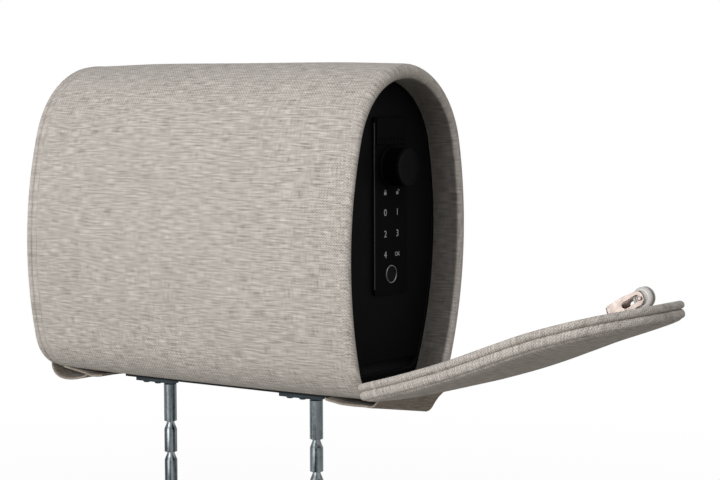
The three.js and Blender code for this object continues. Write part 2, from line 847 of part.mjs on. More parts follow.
/** A place on the flap's outer side, for a flap opened by the angle about its pivot. */
function onFlap(sign, along, n, angle) {
  const pivot = pivotOf(sign);
  const [dx, dz] = [flapFace + n - pivot.x, flap.floor + along - pivot.z];
  return [pivot.x + dx * Math.cos(angle) + dz * Math.sin(angle),
    pivot.z - dx * Math.sin(angle) + dz * Math.cos(angle)];
}

/** The strap's loop from the body's edge to the flap's outer face, slack as it hangs at that angle. */
function strapLoop(sign, angle) {
  const start = [strapRoot + strap.hingeGap, strapLow];
  const sewn = onFlap(sign, strap.sewnHeight, outerFace + strap.standOff, angle);
  const near = onFlap(sign, strap.sewnHeight / 4, outerFace + strap.standOff + strap.loopSag, angle);
  const low = [(start[0] + near[0]) / 2, Math.min(start[1], near[1]) - strap.loopSag];
  return clothBand([start, low, near, sewn], sign, (share) => 1 - share);
}

/** One flap's pieces as a group turned open by the angle about its hinge. */
function endFlap(side, sign, angle) {
  const pivot = pivotOf(sign);
  const turned = new THREE.Group();
  turned.position.set(sign * pivot.x, 0, pivot.z);
  turned.rotation.y = sign * angle;
  const closed = new THREE.Group();
  closed.position.set(-sign * pivot.x, 0, -pivot.z);
  turned.add(closed);
  const innerPad = cut(pad(sign, 0, flap.innerPad, 0), flapBoard(sign, clearance), screwHoleInPad(sign));
  add(closed, `flap_inner_pad_${side}`, innerPad, linen);
  add(closed, `flap_board_${side}`, flapBoard(sign), boardPlastic);
  const crownHeight = sign > 0 ? flap.crown : flap.crown - spread.flatten;
  add(closed, `flap_outer_pad_${side}`, pad(sign, outerStart, flap.outerPad, crownHeight), linen);
  add(closed, `catch_bracket_${side}`, catchBracket(sign), nickel);
  add(closed, `catch_screw_${side}`, catchScrew(sign), nickel);
  add(closed, `catch_roller_${side}`, catchRoller(sign), greyRubber);
  add(closed, `catch_axle_${side}`, catchAxle(sign), nickel);
  return turned;
}

for (const [side, sign, angle] of [['right', 1, flap.openAngle], ['left', -1, 0]]) {
  part.add(endFlap(side, sign, angle));
  add(part, `strap_tail_${side}`, strapTail(sign), linen);
  add(part, `strap_loop_${side}`, strapLoop(sign, angle), linen);
}

// Drawer and its slides

const rearEnd = endPlateX + drawer.rearGap;
const trayTop = drawer.floor + drawer.wallHeight;
const panelStart = panelBack - clearance;

/** How far out the section's line stands at a height, on the front (-1) or back (1) side. */
function wallReach(sign, z, inset = shellInside) {
  const line = outline(inset);
  const crossings = line.flatMap(([y0, z0], i) => {
    const [y1, z1] = line[(i + 1) % line.length];
    if ((z0 - z) * (z1 - z) > 0 || z0 === z1) return [];
    return [sign * (y0 + ((y1 - y0) * (z - z0)) / (z1 - z0))];
  });
  return Math.max(...crossings);
}

/** The fixed rail and the drawer's sliding member on one side. */
function slidePair(sign) {
  const low = slide.centreHeight - slide.railHeight / 2;
  const high = slide.centreHeight + slide.railHeight / 2;
  const wallY = Math.min(...[low, high].map((z) => wallReach(sign, z))) - clearance;
  const trayY = sign * (sign < 0 ? drawer.frontY : drawer.backY);
  const webY = wallY - slide.web;
  const lipY = trayY + clearance;
  const point = (y, z) => [sign * y, z];
  const [lowLip, highLip] = [low + slide.railSheet, high - slide.railSheet];
  const rail = polygon([point(wallY, low), point(wallY, high), point(lipY, high), point(lipY, highLip),
    point(webY, highLip), point(webY, lowLip), point(lipY, lowLip), point(lipY, low)]);
  const half = slide.memberHeight / 2;
  const memberY = [sign * (webY - slide.play), sign * lipY].sort((a, b) => a - b);
  return {
    rail: closedAlongX(rail, rearEnd, frameBack - clearance),
    member: box(rearEnd, panelStart, ...memberY, slide.centreHeight - half, slide.centreHeight + half),
  };
}

/** A shape extruded along X, with its faces out whichever way it was drawn. */
function closedAlongX(shape, x0, x1) {
  const merged = mergeVertices(stripped(alongX(shape, x0, x1)));
  return closedGeometry(Array.from(merged.getAttribute('position').array), Array.from(merged.index.array));
}

/** A geometry's positions alone. */
function stripped(geometry) {
  const plain = new THREE.BufferGeometry();
  plain.setAttribute('position', geometry.getAttribute('position'));
  if (geometry.index) plain.setIndex(geometry.index);
  return plain;
}

/** The drawer's tray: a floor, two sides and a rear wall, open to the front where the lock's case stands. */
function drawerTray() {
  const outer = box(rearEnd, panelStart, drawer.frontY, drawer.backY, drawer.floor, trayTop);
  const hollow = box(rearEnd + drawer.sheet, panelStart + overrun, drawer.frontY + drawer.sheet,
    drawer.backY - drawer.sheet, drawer.floor + drawer.sheet, trayTop + overrun);
  return cut(outer, hollow);
}

const caseBack = panelStart - lockCase.depth;

function trayLiner() {
  const gap = drawer.sheet + clearance;
  const [x0, x1] = [rearEnd + gap, caseBack - clearance];
  const [y0, y1] = [drawer.frontY + gap, drawer.backY - gap];
  const bottom = drawer.floor + gap;
  const outer = box(x0, x1, y0, y1, bottom, trayTop);
  const hollow = box(x0 + drawer.linerWall, x1 - drawer.linerWall, y0 + drawer.linerWall,
    y1 - drawer.linerWall, bottom + drawer.linerBase, trayTop + overrun);
  return cut(outer, hollow);
}

const plateMiddle = plate.y0 + plate.width / 2;
const plateBack = panelFace + clearance;
const plateFront = plateBack + plate.thickness;
const plateTop = plate.bottom + plate.height;
const pocketFloor = plateFront - plate.pocketDepth;
const coverBottom = plateTop - keyCover.height;

/** The drawer's front: holes for the spindle and the key cylinder, and a notch that passes the strike. */
function drawerFront() {
  const panel = sheet(panelBack, panelFace, drawer.panelInset);
  const through = [panelBack - overrun, panelFace + overrun];
  const below = box(...through, body.frontY, body.backY, body.bottom, drawer.panelFloor);
  const notchHalf = strike.width / 2 + clearance;
  const notch = box(...through, latch.y - notchHalf, latch.y + notchHalf, strikeFoot - clearance, body.top);
  return cut(panel, below, notch, barX(knob.spindleRadius + clearance, ...through, plateMiddle, knob.height),
    barX(keyLock.caseRadius + clearance, ...through, plateMiddle, keyLock.height));
}

/** The keypad plate: a pocket open at the top for the key cover, and a seat for the fingerprint ring. */
function controlPlate() {
  const shape = roundedRectangle(plate.y0, plate.y0 + plate.width, plate.bottom, plateTop,
    plate.cornerRadius);
  const blank = alongX(shape, plateBack, plateFront);
  const through = [plateBack - overrun, plateFront + overrun];
  const border = keyCover.sideBorder - clearance;
  const pocket = box(pocketFloor, plateFront + overrun, plate.y0 + border, plate.y0 + plate.width - border,
    coverBottom - clearance, plateTop + overrun);
  return cut(blank, pocket,
    barX(knob.spindleRadius + clearance, ...through, plateMiddle, knob.height),
    barX(keyLock.caseRadius + clearance, ...through, plateMiddle, keyLock.height),
    barX(reader.outerRadius + clearance, pocketFloor, plateFront + overrun, plateMiddle, reader.height,
      facets.ring));
}

/** The sliding cover over the emergency keyhole, with a row of grip ribs near its lower edge. */
function slidingKeyCover() {
  const back = pocketFloor + clearance;
  const front = back + keyCover.thickness;
  const [y0, y1] = [plate.y0 + keyCover.sideBorder, plate.y0 + plate.width - keyCover.sideBorder];
  const strip = box(back, front, y0, y1, coverBottom, plateTop);
  const pitch = (y1 - y0) / (keyCover.ribs + 1);
  const ribs = Array.from({ length: keyCover.ribs }, (_, i) => {
    const y = y0 + pitch * (i + 1);
    return box(front - keyCover.ribProud, front + keyCover.ribProud, y - keyCover.ribWidth / 2,
      y + keyCover.ribWidth / 2, coverBottom + keyCover.ribHeight, coverBottom + 2 * keyCover.ribHeight);
  });
  return join(strip, ...ribs);
}

const keyFace = pocketFloor - clearance;

function keyCylinder() {
  const bore = barX(keyLock.plugRadius + clearance, keyFace - keyLock.length + keyLock.plugRadius,
    keyFace + overrun, plateMiddle, keyLock.height);
  return cut(barX(keyLock.caseRadius, keyFace - keyLock.length, keyFace, plateMiddle, keyLock.height), bore);
}

function keyPlug() {
  const start = keyFace - keyLock.length + keyLock.plugRadius + clearance;
  const half = keyLock.keyway / 2;
  const tall = keyLock.plugRadius / 2;
  const keyway = box(keyFace - keyLock.keywayDepth, keyFace + overrun, plateMiddle - half, plateMiddle + half,
    keyLock.height - tall, keyLock.height + tall);
  return cut(barX(keyLock.plugRadius, start, keyFace, plateMiddle, keyLock.height), keyway);
}

function fingerprintRing() {
  const { innerRadius: inside, outerRadius: outside, proud } = reader;
  const back = pocketFloor + clearance;
  const profile = [[inside, back], [outside, back], [outside, plateFront + proud / 2],
    [(inside + outside) / 2, plateFront + proud], [inside, plateFront + proud / 2], [inside, back]];
  return turnedX(profile, plateMiddle, reader.height, facets.ring);
}

const readerLens = () => barX(reader.innerRadius - clearance, pocketFloor + clearance,
  pocketFloor + clearance + reader.lens, plateMiddle, reader.height, facets.ring);

// Knob, pinion and bolts

const knobBack = plateFront + clearance;
const knobFront = knobBack + knob.skirt + knob.length;
const boltFront = panelBack - bolt.fromPanel;
const boltBack = boltFront - bolt.thickness;

function lockKnob() {
  const { radius, edge, skirtRadius, skirt, socketDepth } = knob;
  const socket = knob.spindleRadius + clearance;
  const profile = [[0, knobBack + socketDepth], [socket, knobBack + socketDepth], [socket, knobBack],
    [skirtRadius, knobBack], [skirtRadius, knobBack + skirt], [radius, knobBack + skirt + edge],
    [radius, knobFront - edge], [radius - edge, knobFront], [0, knobFront]];
  return turnedX(profile, plateMiddle, knob.height, facets.ring);
}

const spindleBack = boltBack - bolt.thickness / 2;
const knobSpindle = () => barX(knob.spindleRadius, spindleBack, knobBack + knob.socketDepth - clearance,
  plateMiddle, knob.height, facets.post);

/** The pinion, as its plain pitch cylinder on the spindle. */
function boltPinion() {
  const bore = knob.spindleRadius + clearance;
  const profile = [[bore, boltBack], [bolt.pinionRadius, boltBack], [bolt.pinionRadius, boltFront],
    [bore, boltFront], [bore, boltBack]];
  return turnedX(profile, plateMiddle, knob.height, facets.usual);
}

/** A bolt bar that runs under (back, 1) or over (front, -1) the pinion and out past the case on its side. */
function lockBolt(sign) {
  const near = knob.height - sign * (bolt.pinionRadius + clearance);
  const z = [near, near - sign * bolt.height].sort((a, b) => a - b);
  const opening = Math.min(...z.map((height) => wallReach(sign, height, frame.insideInset)));
  const tip = opening - 2 * clearance;
  const inner = sign * plateMiddle - bolt.rackOverlap;
  return box(boltBack, boltFront, ...[sign * inner, sign * tip].sort((a, b) => a - b), ...z);
}

/** The lock's case behind the drawer's front: open to the front, with a window for each bolt. */
function lockHousing() {
  const { frontY, backY, bottom, top, sheet: thick } = lockCase;
  const outer = box(caseBack, panelStart, frontY, backY, bottom, top);
  const hollow = box(caseBack + thick, panelStart + overrun, frontY + thick, backY - thick, bottom + thick,
    top - thick);
  const windows = [-1, 1].map((sign) => {
    const near = knob.height - sign * bolt.pinionRadius;
    const z = [near, near - sign * (bolt.height + 2 * clearance)].sort((a, b) => a - b);
    const wallY = sign < 0 ? frontY : backY;
    const across = thick + overrun;
    return box(boltBack - clearance, boltFront + clearance, wallY - across, wallY + across, ...z);
  });
  return cut(outer, hollow, ...windows);
}

function circuitBoard() {
  const x = panelBack - clearance;
  const gap = lockCase.sheet + board.sideGap;
  return box(x - board.thickness, x, lockCase.frontY + gap, lockCase.backY - gap, board.bottom,
    board.bottom + board.height);
}

function batteryBox() {
  const x0 = caseBack + lockCase.sheet + clearance;
  const middle = (lockCase.frontY + lockCase.backY) / 2;
  return box(x0, x0 + battery.depth, middle - battery.width / 2, middle + battery.width / 2,
    battery.bottom, battery.bottom + battery.height);
}

function lockSolenoid() {
  const x0 = caseBack + lockCase.sheet + clearance;
  return box(x0, x0 + solenoid.depth, plateMiddle - solenoid.width / 2, plateMiddle + solenoid.width / 2,
    solenoid.bottom, solenoid.bottom + solenoid.height);
}

for (const [side, sign] of [['front', -1], ['back', 1]]) {
  const pair = slidePair(sign);
  add(part, `slide_rail_${side}`, pair.rail, zinc);
  add(part, `slide_member_${side}`, pair.member, zinc);
  add(part, `lock_bolt_${side}`, lockBolt(sign), chrome);
}
add(part, 'drawer_tray', drawerTray(), blackSteel);
add(part, 'tray_liner', trayLiner(), foam);
add(part, 'drawer_front', drawerFront(), blackSteel);
add(part, 'control_plate', controlPlate(), blackPlastic);
add(part, 'key_cover', slidingKeyCover(), blackPlastic);
add(part, 'key_cylinder', keyCylinder(), brass);
add(part, 'key_plug', keyPlug(), brass);
add(part, 'fingerprint_ring', fingerprintRing(), chrome);
add(part, 'fingerprint_lens', readerLens(), glass);
add(part, 'lock_knob', lockKnob(), blackPlastic);
add(part, 'knob_spindle', knobSpindle(), chrome);
add(part, 'bolt_pinion', boltPinion(), chrome);
add(part, 'lock_case', lockHousing(), blackSteel);
add(part, 'circuit_board', circuitBoard(), circuitGreen);
add(part, 'battery_box', batteryBox(), blackPlastic);
add(part, 'lock_solenoid', lockSolenoid(), zinc);

export default part;
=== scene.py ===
"""A car safe built into a seat headrest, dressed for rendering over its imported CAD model.

Sizes are millimetres in the model's own frame: +X to the open end, +Y to the back, +Z up, with the origin
midway between the posts. New surfaces are worked out as numpy grids and turned into metres in one place.
"""

import logging
import math
from dataclasses import dataclass, field
from enum import Enum
from typing import Any, Sequence

import bpy
import numpy as np
from mathutils import Matrix, Vector

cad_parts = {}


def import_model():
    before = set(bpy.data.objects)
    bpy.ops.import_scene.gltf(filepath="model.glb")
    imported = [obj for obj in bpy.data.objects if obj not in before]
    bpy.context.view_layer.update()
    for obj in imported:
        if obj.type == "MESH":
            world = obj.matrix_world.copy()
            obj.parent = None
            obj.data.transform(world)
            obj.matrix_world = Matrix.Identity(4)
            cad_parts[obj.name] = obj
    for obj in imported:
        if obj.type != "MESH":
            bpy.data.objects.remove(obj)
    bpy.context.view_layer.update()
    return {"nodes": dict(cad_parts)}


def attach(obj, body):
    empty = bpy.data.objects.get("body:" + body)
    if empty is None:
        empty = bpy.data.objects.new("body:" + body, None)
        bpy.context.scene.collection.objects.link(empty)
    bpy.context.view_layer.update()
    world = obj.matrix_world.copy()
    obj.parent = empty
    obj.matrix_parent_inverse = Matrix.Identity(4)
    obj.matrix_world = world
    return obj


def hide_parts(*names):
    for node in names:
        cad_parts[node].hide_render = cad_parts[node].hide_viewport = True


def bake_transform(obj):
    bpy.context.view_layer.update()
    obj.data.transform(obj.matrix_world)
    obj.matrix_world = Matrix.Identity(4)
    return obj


MM = 0.001
CLOTH_MAP = "cloth"
log = logging.getLogger("headrest_safe")


class Side(Enum):
    """An end of the headrest: the right one is open, the left one closed."""

    RIGHT = 1
    LEFT = -1

    @property
    def sign(self) -> int:
        """The direction of this end along X."""
        return self.value

    @property
    def word(self) -> str:
        """The ending of this end's node names."""
        return self.name.lower()


class Axis(Enum):
    """The direction that a turned piece's axis runs in, as (axis, first radial, second radial)."""

    X = (0, 1, 2)
    Y = (1, 2, 0)
    Z = (2, 0, 1)


# Meshes


def link(mesh: bpy.types.Mesh, name: str) -> bpy.types.Object:
    """Puts a mesh into the scene as an object at the origin."""
    piece = bpy.data.objects.new(name, mesh)
    bpy.context.scene.collection.objects.link(piece)
    return piece


def faces_out(points: np.ndarray, faces: np.ndarray) -> bool:
    """Whether closed faces point outwards: the sum of a . (b x c) over a fan of each face is positive."""
    total = 0.0
    for k in range(1, faces.shape[1] - 1):
        a, b, c = (points[faces[:, n]] for n in (0, k, k + 1))
        total += float(np.einsum("ij,ij->", a, np.cross(b, c)))
    return total > 0


def skin(name: str, points: np.ndarray, uv: np.ndarray | None = None, loop: bool = False,
         crease: float = 40.0) -> bpy.types.Object:
    """Makes a closed surface whose columns form rings.

    Rows follow one another. A looped skin joins its last row to its first, and any other one is closed by a
    fan of triangles from the mean point of its first row and of its last.

    Args:
        name: The object's name.
        points: Places in millimetres, rows by columns by three.
        uv: Cloth coordinates in metres, with one more column than points, and one more row when looped.
        loop: Whether the last row joins the first.
        crease: Edges that bend by more than this many degrees stay sharp.

    Returns:
        The object, at the origin, with its faces outwards.
    """
    rows, columns = points.shape[:2]
    i, j = np.meshgrid(np.arange(rows if loop else rows - 1), np.arange(columns), indexing="ij")
    down, across = (i + 1) % rows, (j + 1) % columns
    quads = np.stack([i * columns + j, i * columns + across, down * columns + across, down * columns + j], -1)
    quads = quads.reshape(-1, 4)
    places = points.reshape(-1, 3)
    fans = np.zeros((0, 3), int)
    if not loop:
        ring = np.arange(columns)
        after = (ring + 1) % columns
        first, last = np.full(columns, len(places)), np.full(columns, len(places) + 1)
        base = (rows - 1) * columns
        fans = np.concatenate([np.stack([first, after, ring], -1),
                               np.stack([last, base + ring, base + after], -1)])
        places = np.concatenate([places, points[0].mean(0)[None], points[-1].mean(0)[None]])
    turned = not faces_out(places, quads)
    corners = None
    if uv is not None:
        corners = np.stack([uv[i, j], uv[i, j + 1], uv[i + 1, j + 1], uv[i + 1, j]], -2).reshape(-1, 4, 2)
        if not loop:
            heads = []
            for row, order in ((0, (1, 0)), (rows - 1, (0, 1))):
                middle = np.repeat(uv[row, :-1].mean(0)[None], columns, 0)
                heads.append(np.stack([middle, uv[row, order[0]:columns + order[0]],
                                       uv[row, order[1]:columns + order[1]]], 1))
            fan_corners = np.concatenate(heads)
    if turned:
        quads, fans = quads[:, ::-1], fans[:, ::-1]
        if uv is not None:
            corners = corners[:, ::-1]
            if not loop:
                fan_corners = fan_corners[:, ::-1]
    mesh = bpy.data.meshes.new(name)
    mesh.from_pydata((places * MM).tolist(), [], quads.tolist() + fans.tolist())
    if uv is not None:
        flat = corners.reshape(-1, 2)
        if not loop:
            flat = np.concatenate([flat, fan_corners.reshape(-1, 2)])
        mesh.uv_layers.new(name=CLOTH_MAP).data.foreach_set("uv", flat.astype(np.float32).ravel())
    mesh.polygons.foreach_set("use_smooth", np.ones(len(mesh.polygons), bool))
    mesh.set_sharp_from_angle(angle=math.radians(crease))
    mesh.update()
    return link(mesh, name)


def along_rows(points: np.ndarray, start: float = 0.0) -> np.ndarray:
    """The distance run along the first index of a grid, in its own unit, row by row for each column."""
    steps = np.linalg.norm(np.diff(points, axis=0), axis=-1)
    return start + np.concatenate([np.zeros((1,) + steps.shape[1:]), np.cumsum(steps, 0)])


def smooth_path(knots: np.ndarray, per_span: int = 10) -> np.ndarray:
    """A path through knots: on each span the Catmull-Rom cubic of the two knots before and after.

    Args:
        knots: The places that the path passes, one a row.
        per_span: Points on each span.

    Returns:
        The points of the whole path, ends included.
    """
    padded = np.concatenate([2 * knots[:1] - knots[1:2], knots, 2 * knots[-1:] - knots[-2:-1]])
    t = (np.arange(per_span) / per_span)[None, :, None]
    a, b, c, d = (padded[k:len(padded) - 3 + k][:, None] for k in range(4))
    curve = 0.5 * (2 * b + (c - a) * t + (2 * a - 5 * b + 4 * c - d) * t**2 + (3 * b - a - 3 * c + d) * t**3)
    return np.concatenate([curve.reshape(-1, knots.shape[1]), knots[-1:]])


def turned_piece(name: str, profile: Sequence[tuple[float, float]], centre: tuple[float, float, float],
                 axis: Axis, count: int = 64, flutes: int = 0, depth: float = 0.0,
                 fluted: tuple[float, float] = (0.0, 0.0), loop: bool = False) -> bpy.types.Object:
    """Turns a profile about an axis: a point's place is centre + height along the axis + radius at an angle.

    Args:
        name: The object's name.
        profile: (radius, height) pairs from one end to the other.
        centre: The point that heights are counted from.
        axis: The direction of the axis.
        count: Points round it.
        flutes: The number of grooves round it; the radius loses depth times a raised cosine of the angle.
        depth: How deep the grooves are.
        fluted: The heights between which the grooves run.
        loop: Whether the profile is closed on itself, as a ring's is.

    Returns:
        The object.
    """
    radius, height = np.array(profile, float).T
    angle = np.arange(count) * 2 * math.pi / count
    within = ((height >= fluted[0]) & (height <= fluted[1]))[:, None]
    groove = within * depth * np.maximum(0, np.cos(flutes * angle)) ** 0.6
    reach = radius[:, None] - groove
    places = np.empty(reach.shape + (3,))
    main, one, two = axis.value
    places[..., main] = height[:, None]
    places[..., one] = reach * np.cos(angle)
    places[..., two] = reach * np.sin(angle)
    return skin(name, places + np.array(centre), loop=loop, crease=30.0)


def rounded_ring(width: float, height: float, radius: float, per_corner: int = 6) -> np.ndarray:
    """A rectangle's outline about the origin with a quarter circle at each corner, one point a row."""
    angle = np.arange(per_corner + 1) * math.pi / 2 / per_corner
    quarters = [(1, 1), (-1, 1), (-1, -1), (1, -1)]
    parts = []
    for k, (a, b) in enumerate(quarters):
        turn = angle + k * math.pi / 2
        parts.append(np.stack([a * (width / 2 - radius) + radius * np.cos(turn),
                               b * (height / 2 - radius) + radius * np.sin(turn)], -1))
    return np.concatenate(parts)


# Shader expressions


class Field:
    """A socket of a shader tree. Arithmetic on it adds Math nodes, so a pattern reads as an expression."""

    def __init__(self, tree: bpy.types.NodeTree, socket: bpy.types.NodeSocket) -> None:
        """Keeps the tree and the socket."""
        self.tree = tree
        self.socket = socket

    def math(self, operation: str, *values: Any, clamp: bool = False) -> "Field":
        """Applies a Math node to this field and more values.

        Args:
            operation: The Math node's operation.
            values: Further numbers or fields.
            clamp: Whether the result is held between 0 and 1.

        Returns:
            The result as a field.
        """
        node = self.tree.nodes.new("ShaderNodeMath")
        node.operation = operation
        node.use_clamp = clamp
        for socket, value in zip(node.inputs, (self, *values)):
            feed(self.tree, socket, value)
        return Field(self.tree, node.outputs[0])

    def __add__(self, other: Any) -> "Field":
        """This plus another."""
        return self.math("ADD", other)

    __radd__ = __add__

    def __mul__(self, other: Any) -> "Field":
        """This times another."""
        return self.math("MULTIPLY", other)

    __rmul__ = __mul__

    def __sub__(self, other: Any) -> "Field":
        """This less another."""
        return self.math("SUBTRACT", other)

    def __rsub__(self, other: float) -> "Field":
        """A number less this."""
        return (self * -1.0).math("ADD", other)

    def __truediv__(self, other: float) -> "Field":
        """This over a number."""
        return self.math("MULTIPLY", 1.0 / other)

    def sine(self) -> "Field":
        """The sine of this."""
        return self.math("SINE")

    def held(self) -> "Field":
        """This held between 0 and 1."""
        return self.math("ADD", 0.0, clamp=True)

    def above(self, level: float, width: float) -> "Field":
        """A ramp from 0 at level to 1 at level + width."""
        return ((self - level) / width).held()


def feed(tree: bpy.types.NodeTree, socket: bpy.types.NodeSocket, value: Any) -> None:
    """Links a field to a socket, or sets the socket to a plain value."""
    if isinstance(value, Field):
        tree.links.new(value.socket, socket)
    elif isinstance(value, tuple) and len(value) == 3 and socket.type == "RGBA":
        socket.default_value = (*value, 1.0)
    else:
        socket.default_value = value


def linear(colour: tuple[int, int, int]) -> tuple[float, float, float]:
    """Linear values of a display colour given in steps of 255, by the sRGB curve."""
    shares = np.array(colour, float) / 255
    curve = np.where(shares <= 0.04045, shares / 12.92, ((shares + 0.055) / 1.055) ** 2.4)
    return tuple(float(v) for v in curve)


class Recipe:
    """A material under construction: a Principled surface and the nodes that feed it."""

    def __init__(self, name: str) -> None:
        """Starts a material with a Principled surface."""
        self.material = bpy.data.materials.new(name)
        self.material.use_nodes = True
        self.tree = self.material.node_tree
        self.tree.nodes.clear()
        self.surface = self.tree.nodes.new("ShaderNodeBsdfPrincipled")
        out = self.tree.nodes.new("ShaderNodeOutputMaterial")
        self.tree.links.new(self.surface.outputs[0], out.inputs["Surface"])

    def node(self, kind: str, settings: dict[str, Any] | None = None, sockets: dict[Any, Any] | None = None,
             output: Any = 0) -> Field:
        """Adds any node.

        Args:
            kind: The node's type.
            settings: Its own settings, set first.
            sockets: Values or fields for its inputs, by name or number.
            output: The output that is returned.

        Returns:
            That output as a field.
        """
        node = self.tree.nodes.new(kind)
        for key, value in (settings or {}).items():
            setattr(node, key, value)
        for key, value in (sockets or {}).items():
            feed(self.tree, node.inputs[key], value)
        return Field(self.tree, node.outputs[output])

    def axes(self, cloth: bool = False) -> tuple[Field, Field, Field]:
        """The three Object coordinates in metres, or those of the piece's cloth map."""
        if cloth:
            source = self.node("ShaderNodeUVMap", {"uv_map": CLOTH_MAP})
        else:
            source = self.node("ShaderNodeTexCoord", output="Object")
        parts = self.tree.nodes.new("ShaderNodeSeparateXYZ")
        feed(self.tree, parts.inputs[0], source)
        return tuple(Field(self.tree, parts.outputs[k]) for k in range(3))

    def join(self, x: Any, y: Any, z: Any = 0.0) -> Field:
        """A vector from three numbers or fields."""
        return self.node("ShaderNodeCombineXYZ", sockets={0: x, 1: y, 2: z})

    def noise(self, place: Field, detail: float = 2.0, roughness: float = 0.5) -> Field:
        """Noise about 0.5 with a grain of one unit of place."""
        return self.node("ShaderNodeTexNoise", {"noise_dimensions": "3D"},
                         {"Vector": place, "Scale": 1.0, "Detail": detail, "Roughness": roughness}, "Fac")

    def mix(self, share: Any, first: Any, second: Any) -> Field:
        """The first colour turning into the second as share goes from 0 to 1."""
        return self.node("ShaderNodeMix", {"data_type": "RGBA"}, {0: share, 6: first, 7: second}, 2)

    def bump(self, height: Field, distance: float, strength: float = 1.0) -> None:
        """Feeds the surface's normal from a height between 0 and 1 over a distance in millimetres."""
        normal = self.node("ShaderNodeBump", sockets={"Height": height, "Distance": distance * MM,
                                                      "Strength": strength})
        feed(self.tree, self.surface.inputs["Normal"], normal)

    def set(self, **sockets: Any) -> None:
        """Sets or links the surface's inputs; an underscore in a name stands for a space."""
        for key, value in sockets.items():
            feed(self.tree, self.surface.inputs[key.replace("_", " ")], value)


class Finish:
    """A surface finish. One material is made from each, the first time that it is asked for."""

    name = "finish"
    slot = "linen"

    def material(self) -> bpy.types.Material:
        """The finish's material."""
        known = bpy.data.materials.get(self.name)
        if known:
            return known
        recipe = Recipe(self.name)
        self.compose(recipe)
        return recipe.material

    def compose(self, recipe: Recipe) -> None:
        """Fills in the surface."""
        raise NotImplementedError

    def on(self, piece: bpy.types.Object) -> bpy.types.Object:
        """Gives a piece this finish in all its slots."""
        if piece.data.materials:
            for k in range(len(piece.data.materials)):
                piece.data.materials[k] = self.material()
        else:
            piece.data.materials.append(self.material())
        return piece


@dataclass(frozen=True)
class Linen(Finish):
    """Plain-woven upholstery cloth with slubs: threads along u and v of the cloth map.

    The thread count gives a fine over-and-under relief, sin(pi u / pitch) times sin(pi v / pitch). Slubs are
    noise drawn out along each thread direction, and they set the colour and part of the relief.
    """

    name: str = "woven_linen"
    slot: str = "linen"
    pale: tuple[int, int, int] = (230, 223, 216)
    deep: tuple[int, int, int] = (134, 128, 122)
    pitch: float = 1.15
    slub_length: float = 12.0
    relief: float = 0.22

    def compose(self, recipe: Recipe) -> None:
        """Mixes the deep and the pale yarn by slubs, and raises the weave."""
        u, v, _ = recipe.axes(cloth=True)
        per_pitch = 1 / (self.pitch * MM)
        per_slub = 1 / (self.slub_length * MM)
        weft = recipe.noise(recipe.join(u * per_slub, v * per_pitch * 1.1), 1.0, 0.5)
        warp = recipe.noise(recipe.join(u * per_pitch * 1.1, v * per_slub * 1.4, 4.0), 1.0, 0.5)
        cloud = recipe.noise(recipe.join(u * 26, v * 26, 9.0), 2.0)
        weave = (u * (per_pitch * math.pi)).sine() * (v * (per_pitch * math.pi)).sine()
        share = (0.5 + (weft - 0.5) * 1.35 + (warp - 0.5) * 0.75 + (cloud - 0.5) * 0.15 + weave * 0.24)
        colour = recipe.mix(share.held(), linear(self.deep), linear(self.pale))
        recipe.set(Base_Color=self.shade(recipe, u, colour), Roughness=0.93, Specular_IOR_Level=0.2,
                   Sheen_Weight=0.12, Sheen_Roughness=0.5)
        recipe.bump(0.5 + weave * 0.25 + (weft - 0.5) * 0.7 + (warp - 0.5) * 0.7, self.relief, 0.7)

    def shade(self, recipe: Recipe, u: Field, colour: Field) -> Field:
        """The cloth's colour; the plain cloth has no painted shade."""
        return colour


@dataclass(frozen=True)
class LinedLinen(Linen):
    """The same cloth, darkened by painted shade where it turns over the rim into the lining of the recess.

    The dark share ramps up between two distances over the rim, and ends where the cloth goes out of sight.
    """

    name: str = "lined_linen"
    turn: tuple[float, float] = (15.5, 2.0)
    end: float = 60.0
    # painted shade: the near-black that the lining is darkened towards, standing in for the shade inside the
    # recess
    dark: tuple[int, int, int] = (26, 24, 22)
    strength: float = 0.66

    def shade(self, recipe: Recipe, u: Field, colour: Field) -> Field:
        """Mixes in the painted shade past the rim."""
        start, width = (v * MM for v in self.turn)
        past = u.above(start, width) * (1.0 - u.above(self.end * MM, width))
        return recipe.mix(past * self.strength, colour, linear(self.dark))


@dataclass(frozen=True)
class Foam(Finish):
    """Cut upholstery foam: open cells as noise at two sizes."""

    name: str = "grey_foam"
    slot: str = "foam"
    tone: tuple[int, int, int] = (96, 94, 91)
    cell: float = 0.9

    def compose(self, recipe: Recipe) -> None:
        """Darkens and sinks the cells."""
        x, y, z = recipe.axes()
        scale = 1 / (self.cell * MM)
        cells = recipe.noise(recipe.join(x * scale, y * scale, z * scale), 4.0, 0.65)
        dark = tuple(v * 0.45 for v in linear(self.tone))
        recipe.set(Base_Color=recipe.mix(cells.above(0.35, 0.3), dark, linear(self.tone)), Roughness=0.96,
                   Specular_IOR_Level=0.15)
        recipe.bump(cells, 0.4, 0.8)


@dataclass(frozen=True)
class Liner(Finish):
    """Flocked felt that lines the tray."""

    name: str = "tray_felt"
    slot: str = "liner"
    tone: tuple[int, int, int] = (42, 42, 45)

    def compose(self, recipe: Recipe) -> None:
        """Breaks up the tone with short fibres."""
        x, y, z = recipe.axes()
        fibres = recipe.noise(recipe.join(x * 2600, y * 2600, z * 900), 3.0, 0.7)
        patches = recipe.noise(recipe.join(x * 60, y * 60, z * 60), 2.0)
        low = tuple(v * 0.6 for v in linear(self.tone))
        high = tuple(v * 1.7 for v in linear(self.tone))
        share = (0.4 + (fibres - 0.5) * 1.6 + (patches - 0.5) * 0.6).held()
        recipe.set(Base_Color=recipe.mix(share, low, high), Roughness=0.97, Sheen_Weight=0.25,
                   Specular_IOR_Level=0.15)
        recipe.bump(fibres, 0.15, 0.6)


